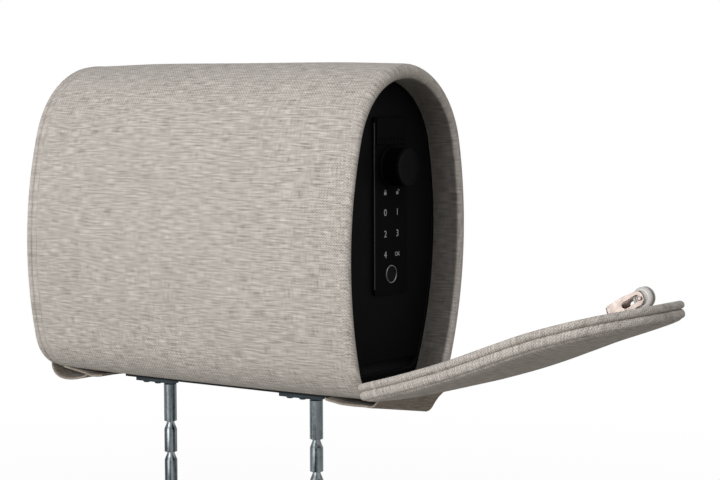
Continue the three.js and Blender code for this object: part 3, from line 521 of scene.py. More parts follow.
@dataclass(frozen=True)
class Coated(Finish):
    """Powder-coated sheet steel: an even coat with the fine orange peel of cured powder."""

    name: str = "black_coat"
    slot: str = "black_steel"
    tone: tuple[int, int, int] = (21, 21, 22)
    worn: tuple[int, int, int] = (34, 34, 36)
    grain: float = 0.5
    roughness: float = 0.62
    specular: float = 0.18

    def compose(self, recipe: Recipe) -> None:
        """Sets the coat's peel and a faint haze of handling."""
        x, y, z = recipe.axes()
        scale = 1 / (self.grain * MM)
        peel = recipe.noise(recipe.join(x * scale, y * scale, z * scale), 2.0, 0.5)
        haze = recipe.noise(recipe.join(x * 30, y * 30, z * 30), 3.0, 0.6)
        share = ((haze - 0.45) * 1.6 + (peel - 0.5) * 0.5).held()
        recipe.set(Base_Color=recipe.mix(share, linear(self.tone), linear(self.worn)),
                   Roughness=(self.roughness + (haze - 0.5) * 0.25).held(), Specular_IOR_Level=self.specular)
        recipe.bump(peel, 0.05, 0.5)


@dataclass(frozen=True)
class Metal(Finish):
    """Bare or plated metal with fine lines drawn along one direction and a light clouding.
    On the posts the lines are long streaks of dark and light: painted reflections of the surroundings and the
    lamps.

    The lines are noise whose grain is stretched by the three numbers of lines, in grains per metre.
    """

    name: str = "drawn_steel"
    slot: str = "post_chrome"
    light: tuple[int, int, int] = (196, 199, 199)
    dark: tuple[int, int, int] = (86, 93, 99)
    lines: tuple[float, float, float] = (900.0, 900.0, 14.0)
    bias: float = 0.5
    gain: float = 2.6
    roughness: float = 0.26
    relief: float = 0.02

    def compose(self, recipe: Recipe) -> None:
        """Mixes the light and the dark tone along the drawn lines."""
        x, y, z = recipe.axes()
        drawn = recipe.noise(recipe.join(*(c * s for c, s in zip((x, y, z), self.lines))), 3.0, 0.6)
        cloud = recipe.noise(recipe.join(x * 220, y * 220, z * 220), 3.0, 0.6)
        share = (self.bias + (drawn - 0.5) * self.gain + (cloud - 0.5) * 0.5).held()
        recipe.set(Base_Color=recipe.mix(share, linear(self.dark), linear(self.light)), Metallic=1.0,
                   Roughness=(self.roughness + (cloud - 0.5) * 0.2).held())
        recipe.bump(drawn, self.relief, 0.5)


@dataclass(frozen=True)
class Moulded(Finish):
    """Moulded plastic or rubber: a fine spark-eroded grain and slight differences in gloss."""

    name: str = "black_plastic"
    slot: str = "black_plastic"
    tone: tuple[int, int, int] = (27, 27, 29)
    lift: float = 1.5
    grain: float = 0.28
    roughness: float = 0.5
    specular: float = 0.3
    coat: float = 0.0

    def compose(self, recipe: Recipe) -> None:
        """Sets the moulded grain."""
        x, y, z = recipe.axes()
        scale = 1 / (self.grain * MM)
        grain = recipe.noise(recipe.join(x * scale, y * scale, z * scale), 2.0, 0.5)
        smear = recipe.noise(recipe.join(x * 45, y * 45, z * 45), 3.0, 0.6)
        high = tuple(min(1.0, v * self.lift) for v in linear(self.tone))
        share = (0.35 + (grain - 0.5) * 0.9 + (smear - 0.5) * 0.9).held()
        recipe.set(Base_Color=recipe.mix(share, linear(self.tone), high), Coat_Weight=self.coat,
                   Roughness=(self.roughness + (smear - 0.5) * 0.2).held(), Specular_IOR_Level=self.specular)
        recipe.bump(grain, 0.03, 0.5)


@dataclass(frozen=True)
class Board(Finish):
    """A printed circuit board: green lacquer over bands of copper track."""

    name: str = "circuit_lacquer"
    slot: str = "circuit_green"
    lacquer: tuple[int, int, int] = (24, 78, 48)
    track: tuple[int, int, int] = (66, 128, 72)

    def compose(self, recipe: Recipe) -> None:
        """Draws tracks as the mortar lines of a brick pattern, with a fine speckle."""
        x, y, z = recipe.axes()
        lanes = recipe.node("ShaderNodeTexBrick", {"offset": 0.37},
                            {"Vector": recipe.join(y * 1.0, z * 1.0), "Scale": 260.0, "Mortar Size": 0.09,
                             "Color1": (0, 0, 0), "Color2": (0, 0, 0), "Mortar": (1, 1, 1)}, "Fac")
        speckle = recipe.noise(recipe.join(x * 1500, y * 1500, z * 1500), 2.0)
        share = (lanes * 0.8 + (speckle - 0.5) * 0.2).held()
        recipe.set(Base_Color=recipe.mix(share, linear(self.lacquer), linear(self.track)), Roughness=0.35)
        recipe.bump(lanes, 0.05, 0.5)


LINEN = Linen()
# the cover's cloth, with painted shade on the recess lining
COVER = LinedLinen()
# painted shade: the same linen made darker and warmer, because the straps lie in shade under the body
STRAP = Linen(name="strap_linen", pale=(196, 185, 172), deep=(112, 103, 94))
FOAM = Foam()
FELT = Liner()
COAT = Coated()
PANEL = Coated(name="panel_coat", tone=(11, 11, 12), worn=(16, 16, 17), grain=0.35, roughness=0.7,
               specular=0.05)
# painted shade: a near-black, nearly matt finish for the strike, darker than its black coat, so that it sinks
# into the shade under the recess's roof
SHADE = Coated(name="matt_black", tone=(4, 4, 4), worn=(6, 6, 6), roughness=0.85, specular=0.01)
# painted reflections: long dark and light streaks along Z in the posts' base colour stand for the dark
# surroundings and the lamps mirrored in the polished steel
STEEL = Metal(light=(140, 147, 149), dark=(30, 40, 46), lines=(420, 420, 9), bias=0.46)
BRIGHT = Metal(name="bright_steel", light=(210, 212, 212), dark=(140, 144, 148), lines=(300, 300, 300),
               roughness=0.22)
ZINC = Metal(name="zinc_plate", slot="zinc", light=(68, 77, 82), dark=(38, 45, 49), lines=(60, 700, 700),
             roughness=0.42, gain=1.6)
NICKEL = Metal(name="nickel_plate", slot="nickel", light=(204, 190, 182), dark=(96, 82, 77),
               lines=(60, 420, 60), roughness=0.2, gain=1.7, bias=0.6)
RING = Metal(name="ring_steel", light=(128, 130, 132), dark=(34, 36, 38), lines=(120, 120, 120), gain=3.0)
BOLT_STEEL = Metal(name="ground_steel", slot="bolt_steel", light=(190, 192, 194), dark=(120, 124, 128),
                   lines=(700, 30, 700), roughness=0.33)
BRASS = Metal(name="lock_brass", slot="brass", light=(206, 172, 104), dark=(146, 112, 56),
              lines=(60, 900, 900), roughness=0.34)
ROLLER = Moulded(name="grey_roller", slot="grey_rubber", tone=(206, 203, 200), lift=1.15, roughness=0.3,
                 specular=0.5)
KEYPAD = Moulded(name="keypad_membrane", slot="black_plastic", tone=(11, 11, 12), roughness=0.65,
                 specular=0.02)
KNOB = Moulded(name="knob_plastic", slot="gloss_black", tone=(6, 6, 6), roughness=0.5, specular=0.02)
# painted highlight: a grey strip on the black plate's edge stands for the light that its rounded edge catches
EDGE_HIGHLIGHT = Moulded(name="plate_edge", slot="grey_rubber", tone=(84, 86, 88), lift=1.2, roughness=0.5)
LEGEND = Moulded(name="legend_print", slot="grey_rubber", tone=(186, 188, 190), lift=1.1, roughness=0.6)
BOARD_PLASTIC = Moulded(name="fibre_board", slot="fibre_board", tone=(46, 42, 38), lift=1.6, grain=0.8,
                        roughness=0.8)
CELL = Moulded(name="battery_case", slot="black_plastic", tone=(30, 30, 33), roughness=0.5)
LENS = Moulded(name="reader_glass", slot="dark_glass", tone=(11, 11, 12), roughness=0.5, specular=0.04)
CIRCUIT = Board()


# The headrest's section


@dataclass(frozen=True)
class Section:
    """The closed line of tangent arcs that the body, its layers and its flaps share.

    A front and a back side of large radius stand on a flat bottom with round corners, and a crown arc
    touches both sides from inside and the top line.
    """

    bottom: float = 5.0
    top: float = 244.0
    front: tuple[float, float, float] = (228.0, 103.0, 300.0)
    back: tuple[float, float, float] = (-192.0, 126.0, 280.0)
    front_corner: float = 38.0
    back_corner: float = 24.0
    middle: float = 8.0
    half_depth: float = 80.0
    counts: tuple[int, int, int, int] = (8, 14, 22, 36)

    def crown(self) -> tuple[float, float, float]:
        """The crown's centre and radius: two circle equations solved for its radius and y."""
        (fy, fz, fr), (by, bz, br) = self.front, self.back
        rise_f, rise_b = self.top - fz, self.top - bz
        const_f, const_b = fy**2 + rise_f**2 - fr**2, by**2 + rise_b**2 - br**2
        slope = (fr - rise_f - br + rise_b) / (fy - by)
        offset = (const_f - const_b) / 2 / (fy - by)
        b = 2 * slope * offset - 2 * fy * slope + 2 * (fr - rise_f)
        c = offset**2 - 2 * fy * offset + const_f
        radius = -2 * c / (b + math.sqrt(b * b - 4 * slope**2 * c))
        return slope * radius + offset, self.top - radius, radius

    def drawn_in(self, line: np.ndarray, draw: tuple[float, float, float], share: Any = 1.0) -> np.ndarray:
        """The line with its sides drawn in and its crown lowered, as towards the headrest's ends.

        A point's y moves to the middle by the draw of its side times its own share of the half depth, and
        its z goes down by the third draw times the square of its height's share.

        Args:
            line: Points (y, z).
            draw: How far the front, the back and the top come in.
            share: How much of the draw applies, one number or one for each line.

        Returns:
            The new points.
        """
        share = np.asarray(share, float)[..., None]
        off = (line[..., 0] - self.middle) / self.half_depth
        sides = np.where(off < 0, draw[0], draw[1])
        height = np.clip(line[..., 1] / self.top, 0, 1)
        return np.stack([line[..., 0] - off * sides * share, line[..., 1] - draw[2] * share * height**2], -1)

    def line(self, inset: Any, floor: float | None = None, front_corner: float | None = None,
             back_corner: float | None = None) -> np.ndarray:
        """The section's line moved inwards.

        Args:
            inset: How far inwards, one number or an array of them.
            floor: The height of the flat bottom, without the inset.
            front_corner: The front corner's radius, without the inset.
            back_corner: The back corner's radius, without the inset.

        Returns:
            Points (y, z), with the shape of inset before them.
        """
        inset = np.asarray(inset, float)[..., None]
        floor_z = (self.bottom if floor is None else floor) + inset
        radius_f = (self.front_corner if front_corner is None else front_corner) - inset
        radius_b = (self.back_corner if back_corner is None else back_corner) - inset
        (fy, fz, fr), (by, bz, br) = self.front, self.back
        cy, cz, cr = self.crown()

        def corner(side: tuple[float, float, float], sign: int, radius: np.ndarray) -> tuple:
            """The centre of a corner that touches the bottom and its side from inside."""
            y, z, r = side
            height = floor_z + radius
            return y + sign * np.sqrt((r - inset - radius) ** 2 - (height - z) ** 2), height

        (bcy, bcz), (fcy, fcz) = corner(self.back, 1, radius_b), corner(self.front, -1, radius_f)
        n_flat, n_corner, n_side, n_crown = self.counts

        def arc(y: Any, z: Any, r: Any, start: Any, end: Any, count: int) -> np.ndarray:
            """Points on a circle between two angles, without the first."""
            angle = start + (end - start) * (np.arange(count) + 1) / count
            return np.stack([y + r * np.cos(angle), z + r * np.sin(angle)], -1)

        def flat(start: np.ndarray, end: np.ndarray) -> np.ndarray:
            """Points on the flat bottom, without the first."""
            y = start + (end - start) * (np.arange(n_flat) + 1) / n_flat
            return np.stack([y, np.broadcast_to(floor_z, y.shape)], -1)

        full = 2 * math.pi
        low_b, high_b = np.arctan2(bcz - bz, bcy - by), math.atan2(cz - bz, cy - by)
        high_f, low_f = math.atan2(cz - fz, cy - fy) % full, np.arctan2(fcz - fz, fcy - fy) % full
        middle = (bcy + fcy) / 2
        return np.concatenate([
            flat(middle, bcy),
            arc(bcy, bcz, radius_b, -math.pi / 2, low_b, n_corner),
            arc(by, bz, br - inset, low_b, high_b, n_side),
            arc(cy, cz, cr - inset, high_b, high_f, n_crown),
            arc(fy, fz, fr - inset, high_f, low_f, n_side),
            arc(fcy, fcz, radius_f, low_f, 1.5 * math.pi, n_corner),
            flat(fcy, middle),
        ], axis=-2)


SECTION = Section()


# Upholstered body


@dataclass
class Upholstery:
    """The cloth cover with its rolled rims and linings, and the foam under it."""

    half_length: float = 150.0
    cloth: float = 2.0
    rim: float = 12.8
    lining_x: float = 125.4
    opening: tuple[float, float, float, float] = (106.3, -14.3, 46.3, 16.2)
    draw: tuple[float, float, float] = (6.5, 5.2, 1.8)
    left_edge: float = 0.6
    mouth: tuple[float, float, float] = (0.6, 30.0, 22.0)
    foam: tuple[float, float, float] = (2.3, 10.9, 12.9)
    foam_end: float = 143.7
    foam_lip: float = 125.4
    pieces: list[bpy.types.Object] = field(default_factory=list)

    def rim_line(self, outer: float, inner: float, end: float, count: int, edge: float = 0.0) -> np.ndarray:
        """The rim's (x, inset) line from the outer inset to the inner one.

        It is a half circle that bulges to the end, or a flat face with quarter circles of the edge's radius.
        """
        radius = edge or (inner - outer) / 2
        angle = math.pi * np.arange(count + 1) / count
        inset = outer + radius - radius * np.cos(angle)
        inset = inset + (angle > math.pi / 2) * (inner - outer - 2 * radius)
        return np.stack([end - radius + radius * np.sin(angle), inset], -1)

    def drawn_in(self, x: np.ndarray, inset: np.ndarray) -> np.ndarray:
        """The section's line at each x.

        It is drawn in by the square of x's share, and less towards the lining. In the recesses the line
        turns into the mouth's, with a lower floor and tighter corners, as the inset grows from 2 to 9.
        """
        share = np.clip(1 - inset / self.rim, 0, 1) ** 0.5 * (x / self.half_length) ** 2
        wide = (np.clip((inset - 2) / 7, 0, 1) * (np.abs(x) > self.lining_x - 0.1))[:, None, None]
        line = SECTION.line(inset) * (1 - wide) + SECTION.line(inset, *self.mouth) * wide
        return SECTION.drawn_in(line, self.draw, share)

    def swell(self, x: np.ndarray, line: np.ndarray) -> np.ndarray:
        """How far the stuffed cloth stands off the section, in millimetres.

        Slow waves along the body and round it, faded out at the rims and under the body.
        """
        y, z = line[..., 0], line[..., 1]
        fade = np.clip((self.half_length - 14 - np.abs(x)) / 40, 0, 1)[:, None]
        low = np.clip((z - 8) / 40, 0, 1)
        x = x[:, None]
        waves = (np.sin(x / 47 + 0.7) * np.sin(z / 61 + 0.4) + 0.6 * np.sin(x / 29 + z / 83 + 2.1)
                 + 0.5 * np.sin(y / 33 + x / 71))
        return 0.35 * waves * fade * low

    def build_cover(self) -> bpy.types.Object:
        """Makes the cover: the section's line carried along a closed loop of (x, inset)."""
        outer = self.rim_line(0.0, self.rim, self.half_length, 20)
        outer_left = self.rim_line(0.0, self.rim, self.half_length, 20, self.left_edge)
        lining_in = self.rim - self.cloth
        inner = self.rim_line(self.cloth, lining_in, self.half_length - self.cloth, 10)
        lining = np.stack([np.linspace(outer[-1, 0], self.lining_x, 8)[1:], np.full(7, self.rim)], -1)
        back = np.stack([np.linspace(self.lining_x, inner[-1, 0], 4)[:-1], np.full(3, lining_in)], -1)
        right, left = (np.concatenate([rim, lining, back, inner[::-1]]) for rim in (outer, outer_left))
        flip = np.array([-1.0, 1.0])
        inside = np.stack([np.linspace(inner[0, 0], -inner[0, 0], 12)[1:-1], np.full(10, self.cloth)], -1)
        outside = np.stack([np.linspace(-outer_left[0, 0], outer[0, 0], 60)[1:-1], np.zeros(58)], -1)
        loop = np.concatenate([right, inside, (left * flip)[::-1], outside])
        x, inset = loop.T
        line = self.drawn_in(x, inset)
        on_top = (inset < 1e-9).astype(float)
        off = self.swell(x, line) * on_top[:, None]
        edge = np.roll(line, -1, axis=1) - np.roll(line, 1, axis=1)
        normal = np.stack([edge[..., 1], -edge[..., 0]], -1) / np.linalg.norm(edge, axis=-1)[..., None]
        line = line + normal * off[..., None]
        places = np.concatenate([np.broadcast_to(x[:, None, None], line.shape[:2] + (1,)), line], -1)
        ring = np.concatenate([line, line[:, :1]], 1).transpose(1, 0, 2)
        v = along_rows(ring)[:, 0]
        path = np.concatenate([loop, loop[:1]])
        u = along_rows(path[:, None])[:, 0]
        uv = np.stack(np.meshgrid(u, v, indexing="ij"), -1) * MM
        cover = skin("cloth_cover", places, uv, loop=True)
        self.cut_opening(cover)
        return cover

    def cut_opening(self, cover: bpy.types.Object) -> None:
        """Cuts the opening for the base out of the cover's underside."""
        half, front, back, top = self.opening
        corners = np.array([[-half, front], [half, front], [half, back], [-half, back]])
        rings = np.stack([np.concatenate([corners, np.full((4, 1), z)], 1) for z in (-3.0, top)])
        tool = skin("opening_tool", rings, crease=10.0)
        cutter = cover.modifiers.new("opening", "BOOLEAN")
        cutter.operation = "DIFFERENCE"
        cutter.solver = "EXACT"
        cutter.object = tool
        bake_modifiers(cover)
        bpy.data.objects.remove(tool)

    def build_foam(self) -> bpy.types.Object:
        """Makes the foam: the section's line carried round a squared loop of (x, inset)."""
        outside, inside, lip = self.foam
        end, near = self.foam_end, self.foam_lip
        over = [[x, outside] for x in np.linspace(-end, end, 15)]
        loop = np.array(over + [[end, lip - 2.3], [near, lip - 2.3], [near, inside], [0, inside],
                                [-near, inside], [-near, lip - 2.3], [-end, lip - 2.3]])
        line = self.drawn_in(loop[:, 0], loop[:, 1])
        places = np.concatenate([np.broadcast_to(loop[:, :1, None], line.shape[:2] + (1,)), line], -1)
        foam = skin("foam_layer", places, loop=True, crease=30.0)
        self.cut_opening(foam)
        return foam

    def build_flange(self) -> None:
        """The thin black flange of the steel frame, which closes the gap between frame and lining."""
        inner, outer = SECTION.line(13.4), SECTION.line(9.5, *self.mouth)
        rings = [np.concatenate([np.full((len(line), 1), x), line], 1)
                 for x, line in ((124.6, outer), (125.2, outer), (125.2, inner), (124.6, inner))]
        flange = PANEL.on(skin("frame_flange", np.stack(rings), loop=True, crease=30.0))
        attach(flange, "case")

    def build(self) -> None:
        """Makes both layers and stands them for their CAD nodes."""
        self.build_flange()
        cover, foam = self.build_cover(), self.build_foam()
        COVER.on(cover)
        FOAM.on(foam)
        for piece, node, slot in ((cover, "fabric_cover", "linen"), (foam, "foam_wrap", "foam")):
            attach(piece, "case")
            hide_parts(node)
            self.pieces.append(piece)


def bake_modifiers(piece: bpy.types.Object) -> None:
    """Replaces a piece's mesh by the result of its modifiers."""
    graph = bpy.context.evaluated_depsgraph_get()
    mesh = bpy.data.meshes.new_from_object(piece.evaluated_get(graph), preserve_all_data_layers=True,
                                           depsgraph=graph)
    piece.modifiers.clear()
    piece.data = mesh


# End flaps and straps


@dataclass(frozen=True)
class Pad:
    """One pad of a flap: its outline, its place along n and how its outer face rises.

    From the edge to the middle the face rises by crown times (1 - share^p)^q, where p and q are the fullness
    and share runs from 0 in the middle to 1 at the edge.
    """

    layer: str
    start: float
    thickness: float
    floor: float
    top: float
    corners: tuple[float, float]
    drawn: tuple[float, float, float] = (0.0, 0.0, 0.0)
    edge: float = 0.0
    crown: float = 0.0
    fullness: tuple[float, float] = (2.4, 0.9)

    def outline(self, inset: np.ndarray) -> np.ndarray:
        """The body's section on the pad's own floor, drawn in, its height scaled to the pad's top."""
        share = (self.top - self.floor) / (SECTION.top - self.floor)
        line = SECTION.drawn_in(SECTION.line(inset, self.floor, *self.corners), self.drawn,
                                np.ones(len(inset)))
        return np.stack([line[..., 0], self.floor + (line[..., 1] - self.floor) * share], -1)

    def rings(self, count: int = 12) -> tuple[np.ndarray, np.ndarray, np.ndarray]:
        """The pad's rings from the middle of its inner face over its edge to the middle of its outer face.

        The faces' cloth coordinates are their own (y, z). On the edge they are those of the outline moved
        outwards by the distance run over the edge, so that the weave keeps its scale there.

        Args:
            count: Rings between the middle and the edge of a face.

        Returns:
            Each ring's n, its points (y, z) and its cloth coordinates.
        """
        radius = self.edge or self.thickness / 2
        angle = math.pi * np.arange(11) / 10
        straight = (angle > math.pi / 2) * (self.thickness - 2 * radius)
        edge_n = self.start + radius - radius * np.cos(angle) + straight
        edge = self.outline(radius - radius * np.sin(angle))
        rim = self.outline(np.array([radius]))
        middle = np.array([rim[0, :, 0].mean(), (self.floor + self.top) / 2])
        share = np.concatenate([[0.04], np.linspace(0.12, 0.9, count), [0.94, 0.965, 0.985]])
        faces = middle + share[:, None, None] * (rim[0] - middle)
        rise = self.crown * (1 - share ** self.fullness[0]) ** self.fullness[1]
        upper = self.start + self.thickness + rise
        n = np.concatenate([np.full(len(share), self.start), edge_n, edge_n[-1:] + 0.01, upper[::-1]])
        line = np.concatenate([faces, edge, rim, faces[::-1]])
        cloth = np.concatenate([faces, self.outline(radius - angle * radius - straight), rim, faces[::-1]])
        return n, line, cloth


@dataclass
class EndFlap:
    """One end flap's two pads, drawn closed and then turned open about its hinge line.

    Along runs up from the flap's lower edge, and n runs outwards from its inner face.
    """

    side: Side
    pads: tuple[Pad, ...]
    span: tuple[float, float] = (15.5, 235.0)
    face: float = 150.5
    open_angle: float = 72.3
    pivot: tuple[float, float] = (152.3, 18.0)
    bend: tuple[tuple[float, float], ...] = ((0.0, 0.0), (1.0, 0.0))

    def place(self, points: np.ndarray, bent: bool = True) -> np.ndarray:
        """Points (n, y, z) of the closed flap in the model's frame.

        The flap is bent outwards by a smooth curve through the bend's (share of the length, offset) knots,
        then turned by the open angle about the pivot and mirrored to its end.

        Args:
            points: The places.
            bent: Whether they follow the bend.

        Returns:
            The new places.
        """
        n, y, z = points[..., 0], points[..., 1], points[..., 2]
        share, offset = smooth_path(np.array(self.bend), 8).T
        n = n + bent * np.interp((z - self.span[0]) / (self.span[1] - self.span[0]), share, offset)
        dx, dz = self.face + n - self.pivot[0], z - self.pivot[1]
        angle = math.radians(self.open_angle)
        x = self.pivot[0] + dx * math.cos(angle) + dz * math.sin(angle)
        z = self.pivot[1] - dx * math.sin(angle) + dz * math.cos(angle)
        return np.stack([self.side.sign * x, y, z], -1)

    def build(self) -> None:
        """Makes the pads and stands them for their CAD nodes."""
        word = self.side.word
        for pad in self.pads:
            n, line, cloth = pad.rings()
            flat = np.concatenate([np.broadcast_to(n[:, None, None], line.shape[:2] + (1,)), line], -1)
            uv = np.concatenate([cloth, cloth[:, :1]], 1)
            piece = LINEN.on(skin(f"{pad.layer}_pad_{word}", self.place(flat), uv * MM, crease=60.0))
            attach(piece, f"flap_{word}")
            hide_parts(f"flap_{pad.layer}_pad_{word}")
            log.info("%s flap: %s pad, %d faces", word, pad.layer, len(piece.data.polygons))


@dataclass
class Strap:
    """The cloth strap that hinges a flap: its tail lies under the body and its loop runs to the flap."""

    side: Side
    tail: tuple[tuple[float, float], ...]
    loop: tuple[tuple[float, float], ...]
    tilt: tuple[float, float]
    loop_tilt: tuple[float, float] | None = None
    front: float = -38.0
    back: float = 34.0
    thickness: float = 1.6
    edge_rise: float = 9.0

    def section(self, flat: int = 18, arc: int = 5) -> np.ndarray:
        """The band's cross-section as (y, n): two straight faces joined by half circles."""
        half = self.thickness / 2
        angle = math.pi / 2 + math.pi * np.arange(arc + 1) / arc
        y = np.linspace(self.back - half, self.front + half, flat)
        top = np.stack([y, np.full(flat, half)], -1)
        left = np.stack([self.front + half + half * np.cos(angle), half * np.sin(angle)], -1)
        bottom = np.stack([y[::-1], np.full(flat, -half)], -1)
        right = np.stack([self.back - half - half * np.cos(angle), -half * np.sin(angle)], -1)
        return np.concatenate([top, left[1:-1], bottom, right[1:-1]])

    def band(self, name: str, path: np.ndarray, tilt: np.ndarray) -> bpy.types.Object:
        """A band of cloth along a path in X and Z.

        A point's place is the path's point, plus its height off the band along the path's normal, plus a
        lift that runs from half the edge rise at the front edge to minus that at the back, times tilt.

        Args:
            name: The piece's name.
            path: Points (x, z).
            tilt: The share of the edge rise at each point.

        Returns:
            The band.
        """
        tangent = np.gradient(path, axis=0)
        tangent = tangent / np.linalg.norm(tangent, axis=1)[:, None]
        section = self.section()
        y, n = section[None, :, 0], section[None, :, 1]
        across = (y - self.front) / (self.back - self.front)
        lift = self.edge_rise * tilt[:, None] * (0.5 - across)
        x = path[:, :1] - n * tangent[:, 1:]
        z = path[:, 1:] + n * tangent[:, :1] + lift
        places = np.stack([self.side.sign * x, np.broadcast_to(y, x.shape), z], -1)
        ring = np.concatenate([section, section[:1]])
        v = along_rows(ring[:, None])[:, 0]
        u = along_rows(path[:, None])[:, 0]
        uv = np.stack(np.meshgrid(v, u, indexing="xy"), -1) * MM
        return skin(name, places, uv, crease=50.0)

    def build(self) -> None:
        """Makes the tail and the loop, and puts the tail on the case."""
        word = self.side.word
        tail_path = smooth_path(np.array(self.tail), 8)
        loop_path = smooth_path(np.array(self.loop), 12)
        share = np.linspace(0, 1, len(tail_path))
        tail = STRAP.on(self.band(f"tail_{word}", tail_path, self.tilt[0] * share**2 * (3 - 2 * share)))
        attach(tail, "case")
        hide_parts(f"strap_tail_{word}")
        loop_tilt = np.linspace(*(self.loop_tilt or self.tilt), len(loop_path))
        loop = STRAP.on(self.band(f"loop_{word}", loop_path, loop_tilt))
        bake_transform(loop)
        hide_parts(f"strap_loop_{word}")


# Steel, lock and keypad


@dataclass
class Hardware:
    """CAD nodes that stay, each with its finish and a small bevel on its edges."""

    bevel: float = 0.25
    coated: tuple[str, ...] = ("steel_shell", "shell_end_plate", "bolt_frame", "base_channel", "drawer_tray",
                               "lock_case")
    zinc: tuple[str, ...] = ("bracket_right", "bracket_left", "slide_rail_front", "slide_rail_back",
                             "slide_member_front", "slide_member_back", "lock_solenoid")
    ground: tuple[str, ...] = ("lock_bolt_front", "lock_bolt_back", "knob_spindle", "bolt_pinion")
    others: tuple[tuple[str, Finish], ...] = (
        ("drawer_front", PANEL), ("control_plate", KEYPAD), ("key_cover", KEYPAD), ("key_cylinder", BRASS),
        ("key_plug", BRASS), ("fingerprint_lens", LENS), ("circuit_board", CIRCUIT), ("battery_box", CELL),
        ("flap_board_right", BOARD_PLASTIC), ("flap_board_left", BOARD_PLASTIC))

    def soften(self, node: bpy.types.Object, width: float) -> None:
        """Welds a node's loose triangles and rounds its edges, both as live modifiers."""
        weld = node.modifiers.new("weld", "WELD")
        weld.merge_threshold = 1e-6
        edge = node.modifiers.new("edge", "BEVEL")
        edge.width = width * MM
        edge.segments = 2
        edge.limit_method = "ANGLE"
        edge.angle_limit = math.radians(35)
        edge.harden_normals = False

    def build(self, nodes: dict[str, bpy.types.Object]) -> None:
        """Dresses each node that stays."""
        rows = [(name, COAT) for name in self.coated] + [(name, ZINC) for name in self.zinc]
        rows += [(name, BOLT_STEEL) for name in self.ground]
        for name, finish in [*rows, *self.others]:
            finish.on(nodes[name])
            self.soften(nodes[name], self.bevel)
            log.info("node %s wears %s", name, finish.name)


@dataclass
class Posts:
    """The notched posts and the screws of their brackets, turned with many sides."""

    spacing: float = 144.0
    radius: float = 5.0
    neck: float = 3.0
    neck_length: float = 1.4
    cone: float = 4.6
    first: float = 33.6
    pitch: float = 24.2
    foot: float = -163.7
    seat: float = -4.3
    spigot: tuple[float, float] = (2.0, -1.7)
    screws: tuple[float, float, float] = (12.5, 12.0, 2.8)

    def profile(self) -> list[tuple[float, float]]:
        """The post's (radius, height) pairs: each notch has a flat shoulder, a neck and a cone below."""
        line = [(0.6, self.foot), (self.radius - 1.2, self.foot), (self.radius, self.foot + 1.2)]
        for k in range(3, -1, -1):
            shoulder = -self.first - k * self.pitch
            neck_foot = shoulder - self.neck_length
            line += [(self.radius, neck_foot - self.cone - 0.4), (self.radius - 0.15, neck_foot - self.cone),
                     (self.neck, neck_foot), (self.neck, shoulder), (self.radius - 0.3, shoulder),
                     (self.radius, shoulder + 0.3)]
        line += [(self.radius, self.seat - 0.4), (self.radius - 0.4, self.seat),
                 (self.spigot[0], self.seat), (self.spigot[0], self.spigot[1]), (0.4, self.spigot[1])]
        return line

    def build(self) -> None:
        """Makes both posts and their four screws."""
        from_post, pitch, head = self.screws
        for side in Side:
            x = side.sign * self.spacing / 2
            post = STEEL.on(turned_piece(f"turned_post_{side.word}", self.profile(), (x, 0, 0), Axis.Z))
            self.seat_piece(post, f"post_{side.word}", "post_chrome")
            for k in range(2):
                at = (x - from_post - k * pitch, 0, self.seat)
                line = [(0.3, -1.1), (head * 0.55, -1.1), (head * 0.9, -0.8), (head, -0.3), (head, -0.02),
                        (1.5, -0.02), (1.5, 6.6), (0.2, 6.6)]
                screw = ZINC.on(turned_piece(f"pan_screw_{side.word}_{k + 1}", line, at, Axis.Z, 32))
                self.seat_piece(screw, f"bracket_screw_{side.word}_{k + 1}", "zinc")

    def seat_piece(self, piece: bpy.types.Object, node: str, slot: str) -> None:
        """Stands a turned piece for its CAD node on the case."""
        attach(piece, "case")
        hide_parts(node)
        log.info("%s stands for %s", piece.name, node)


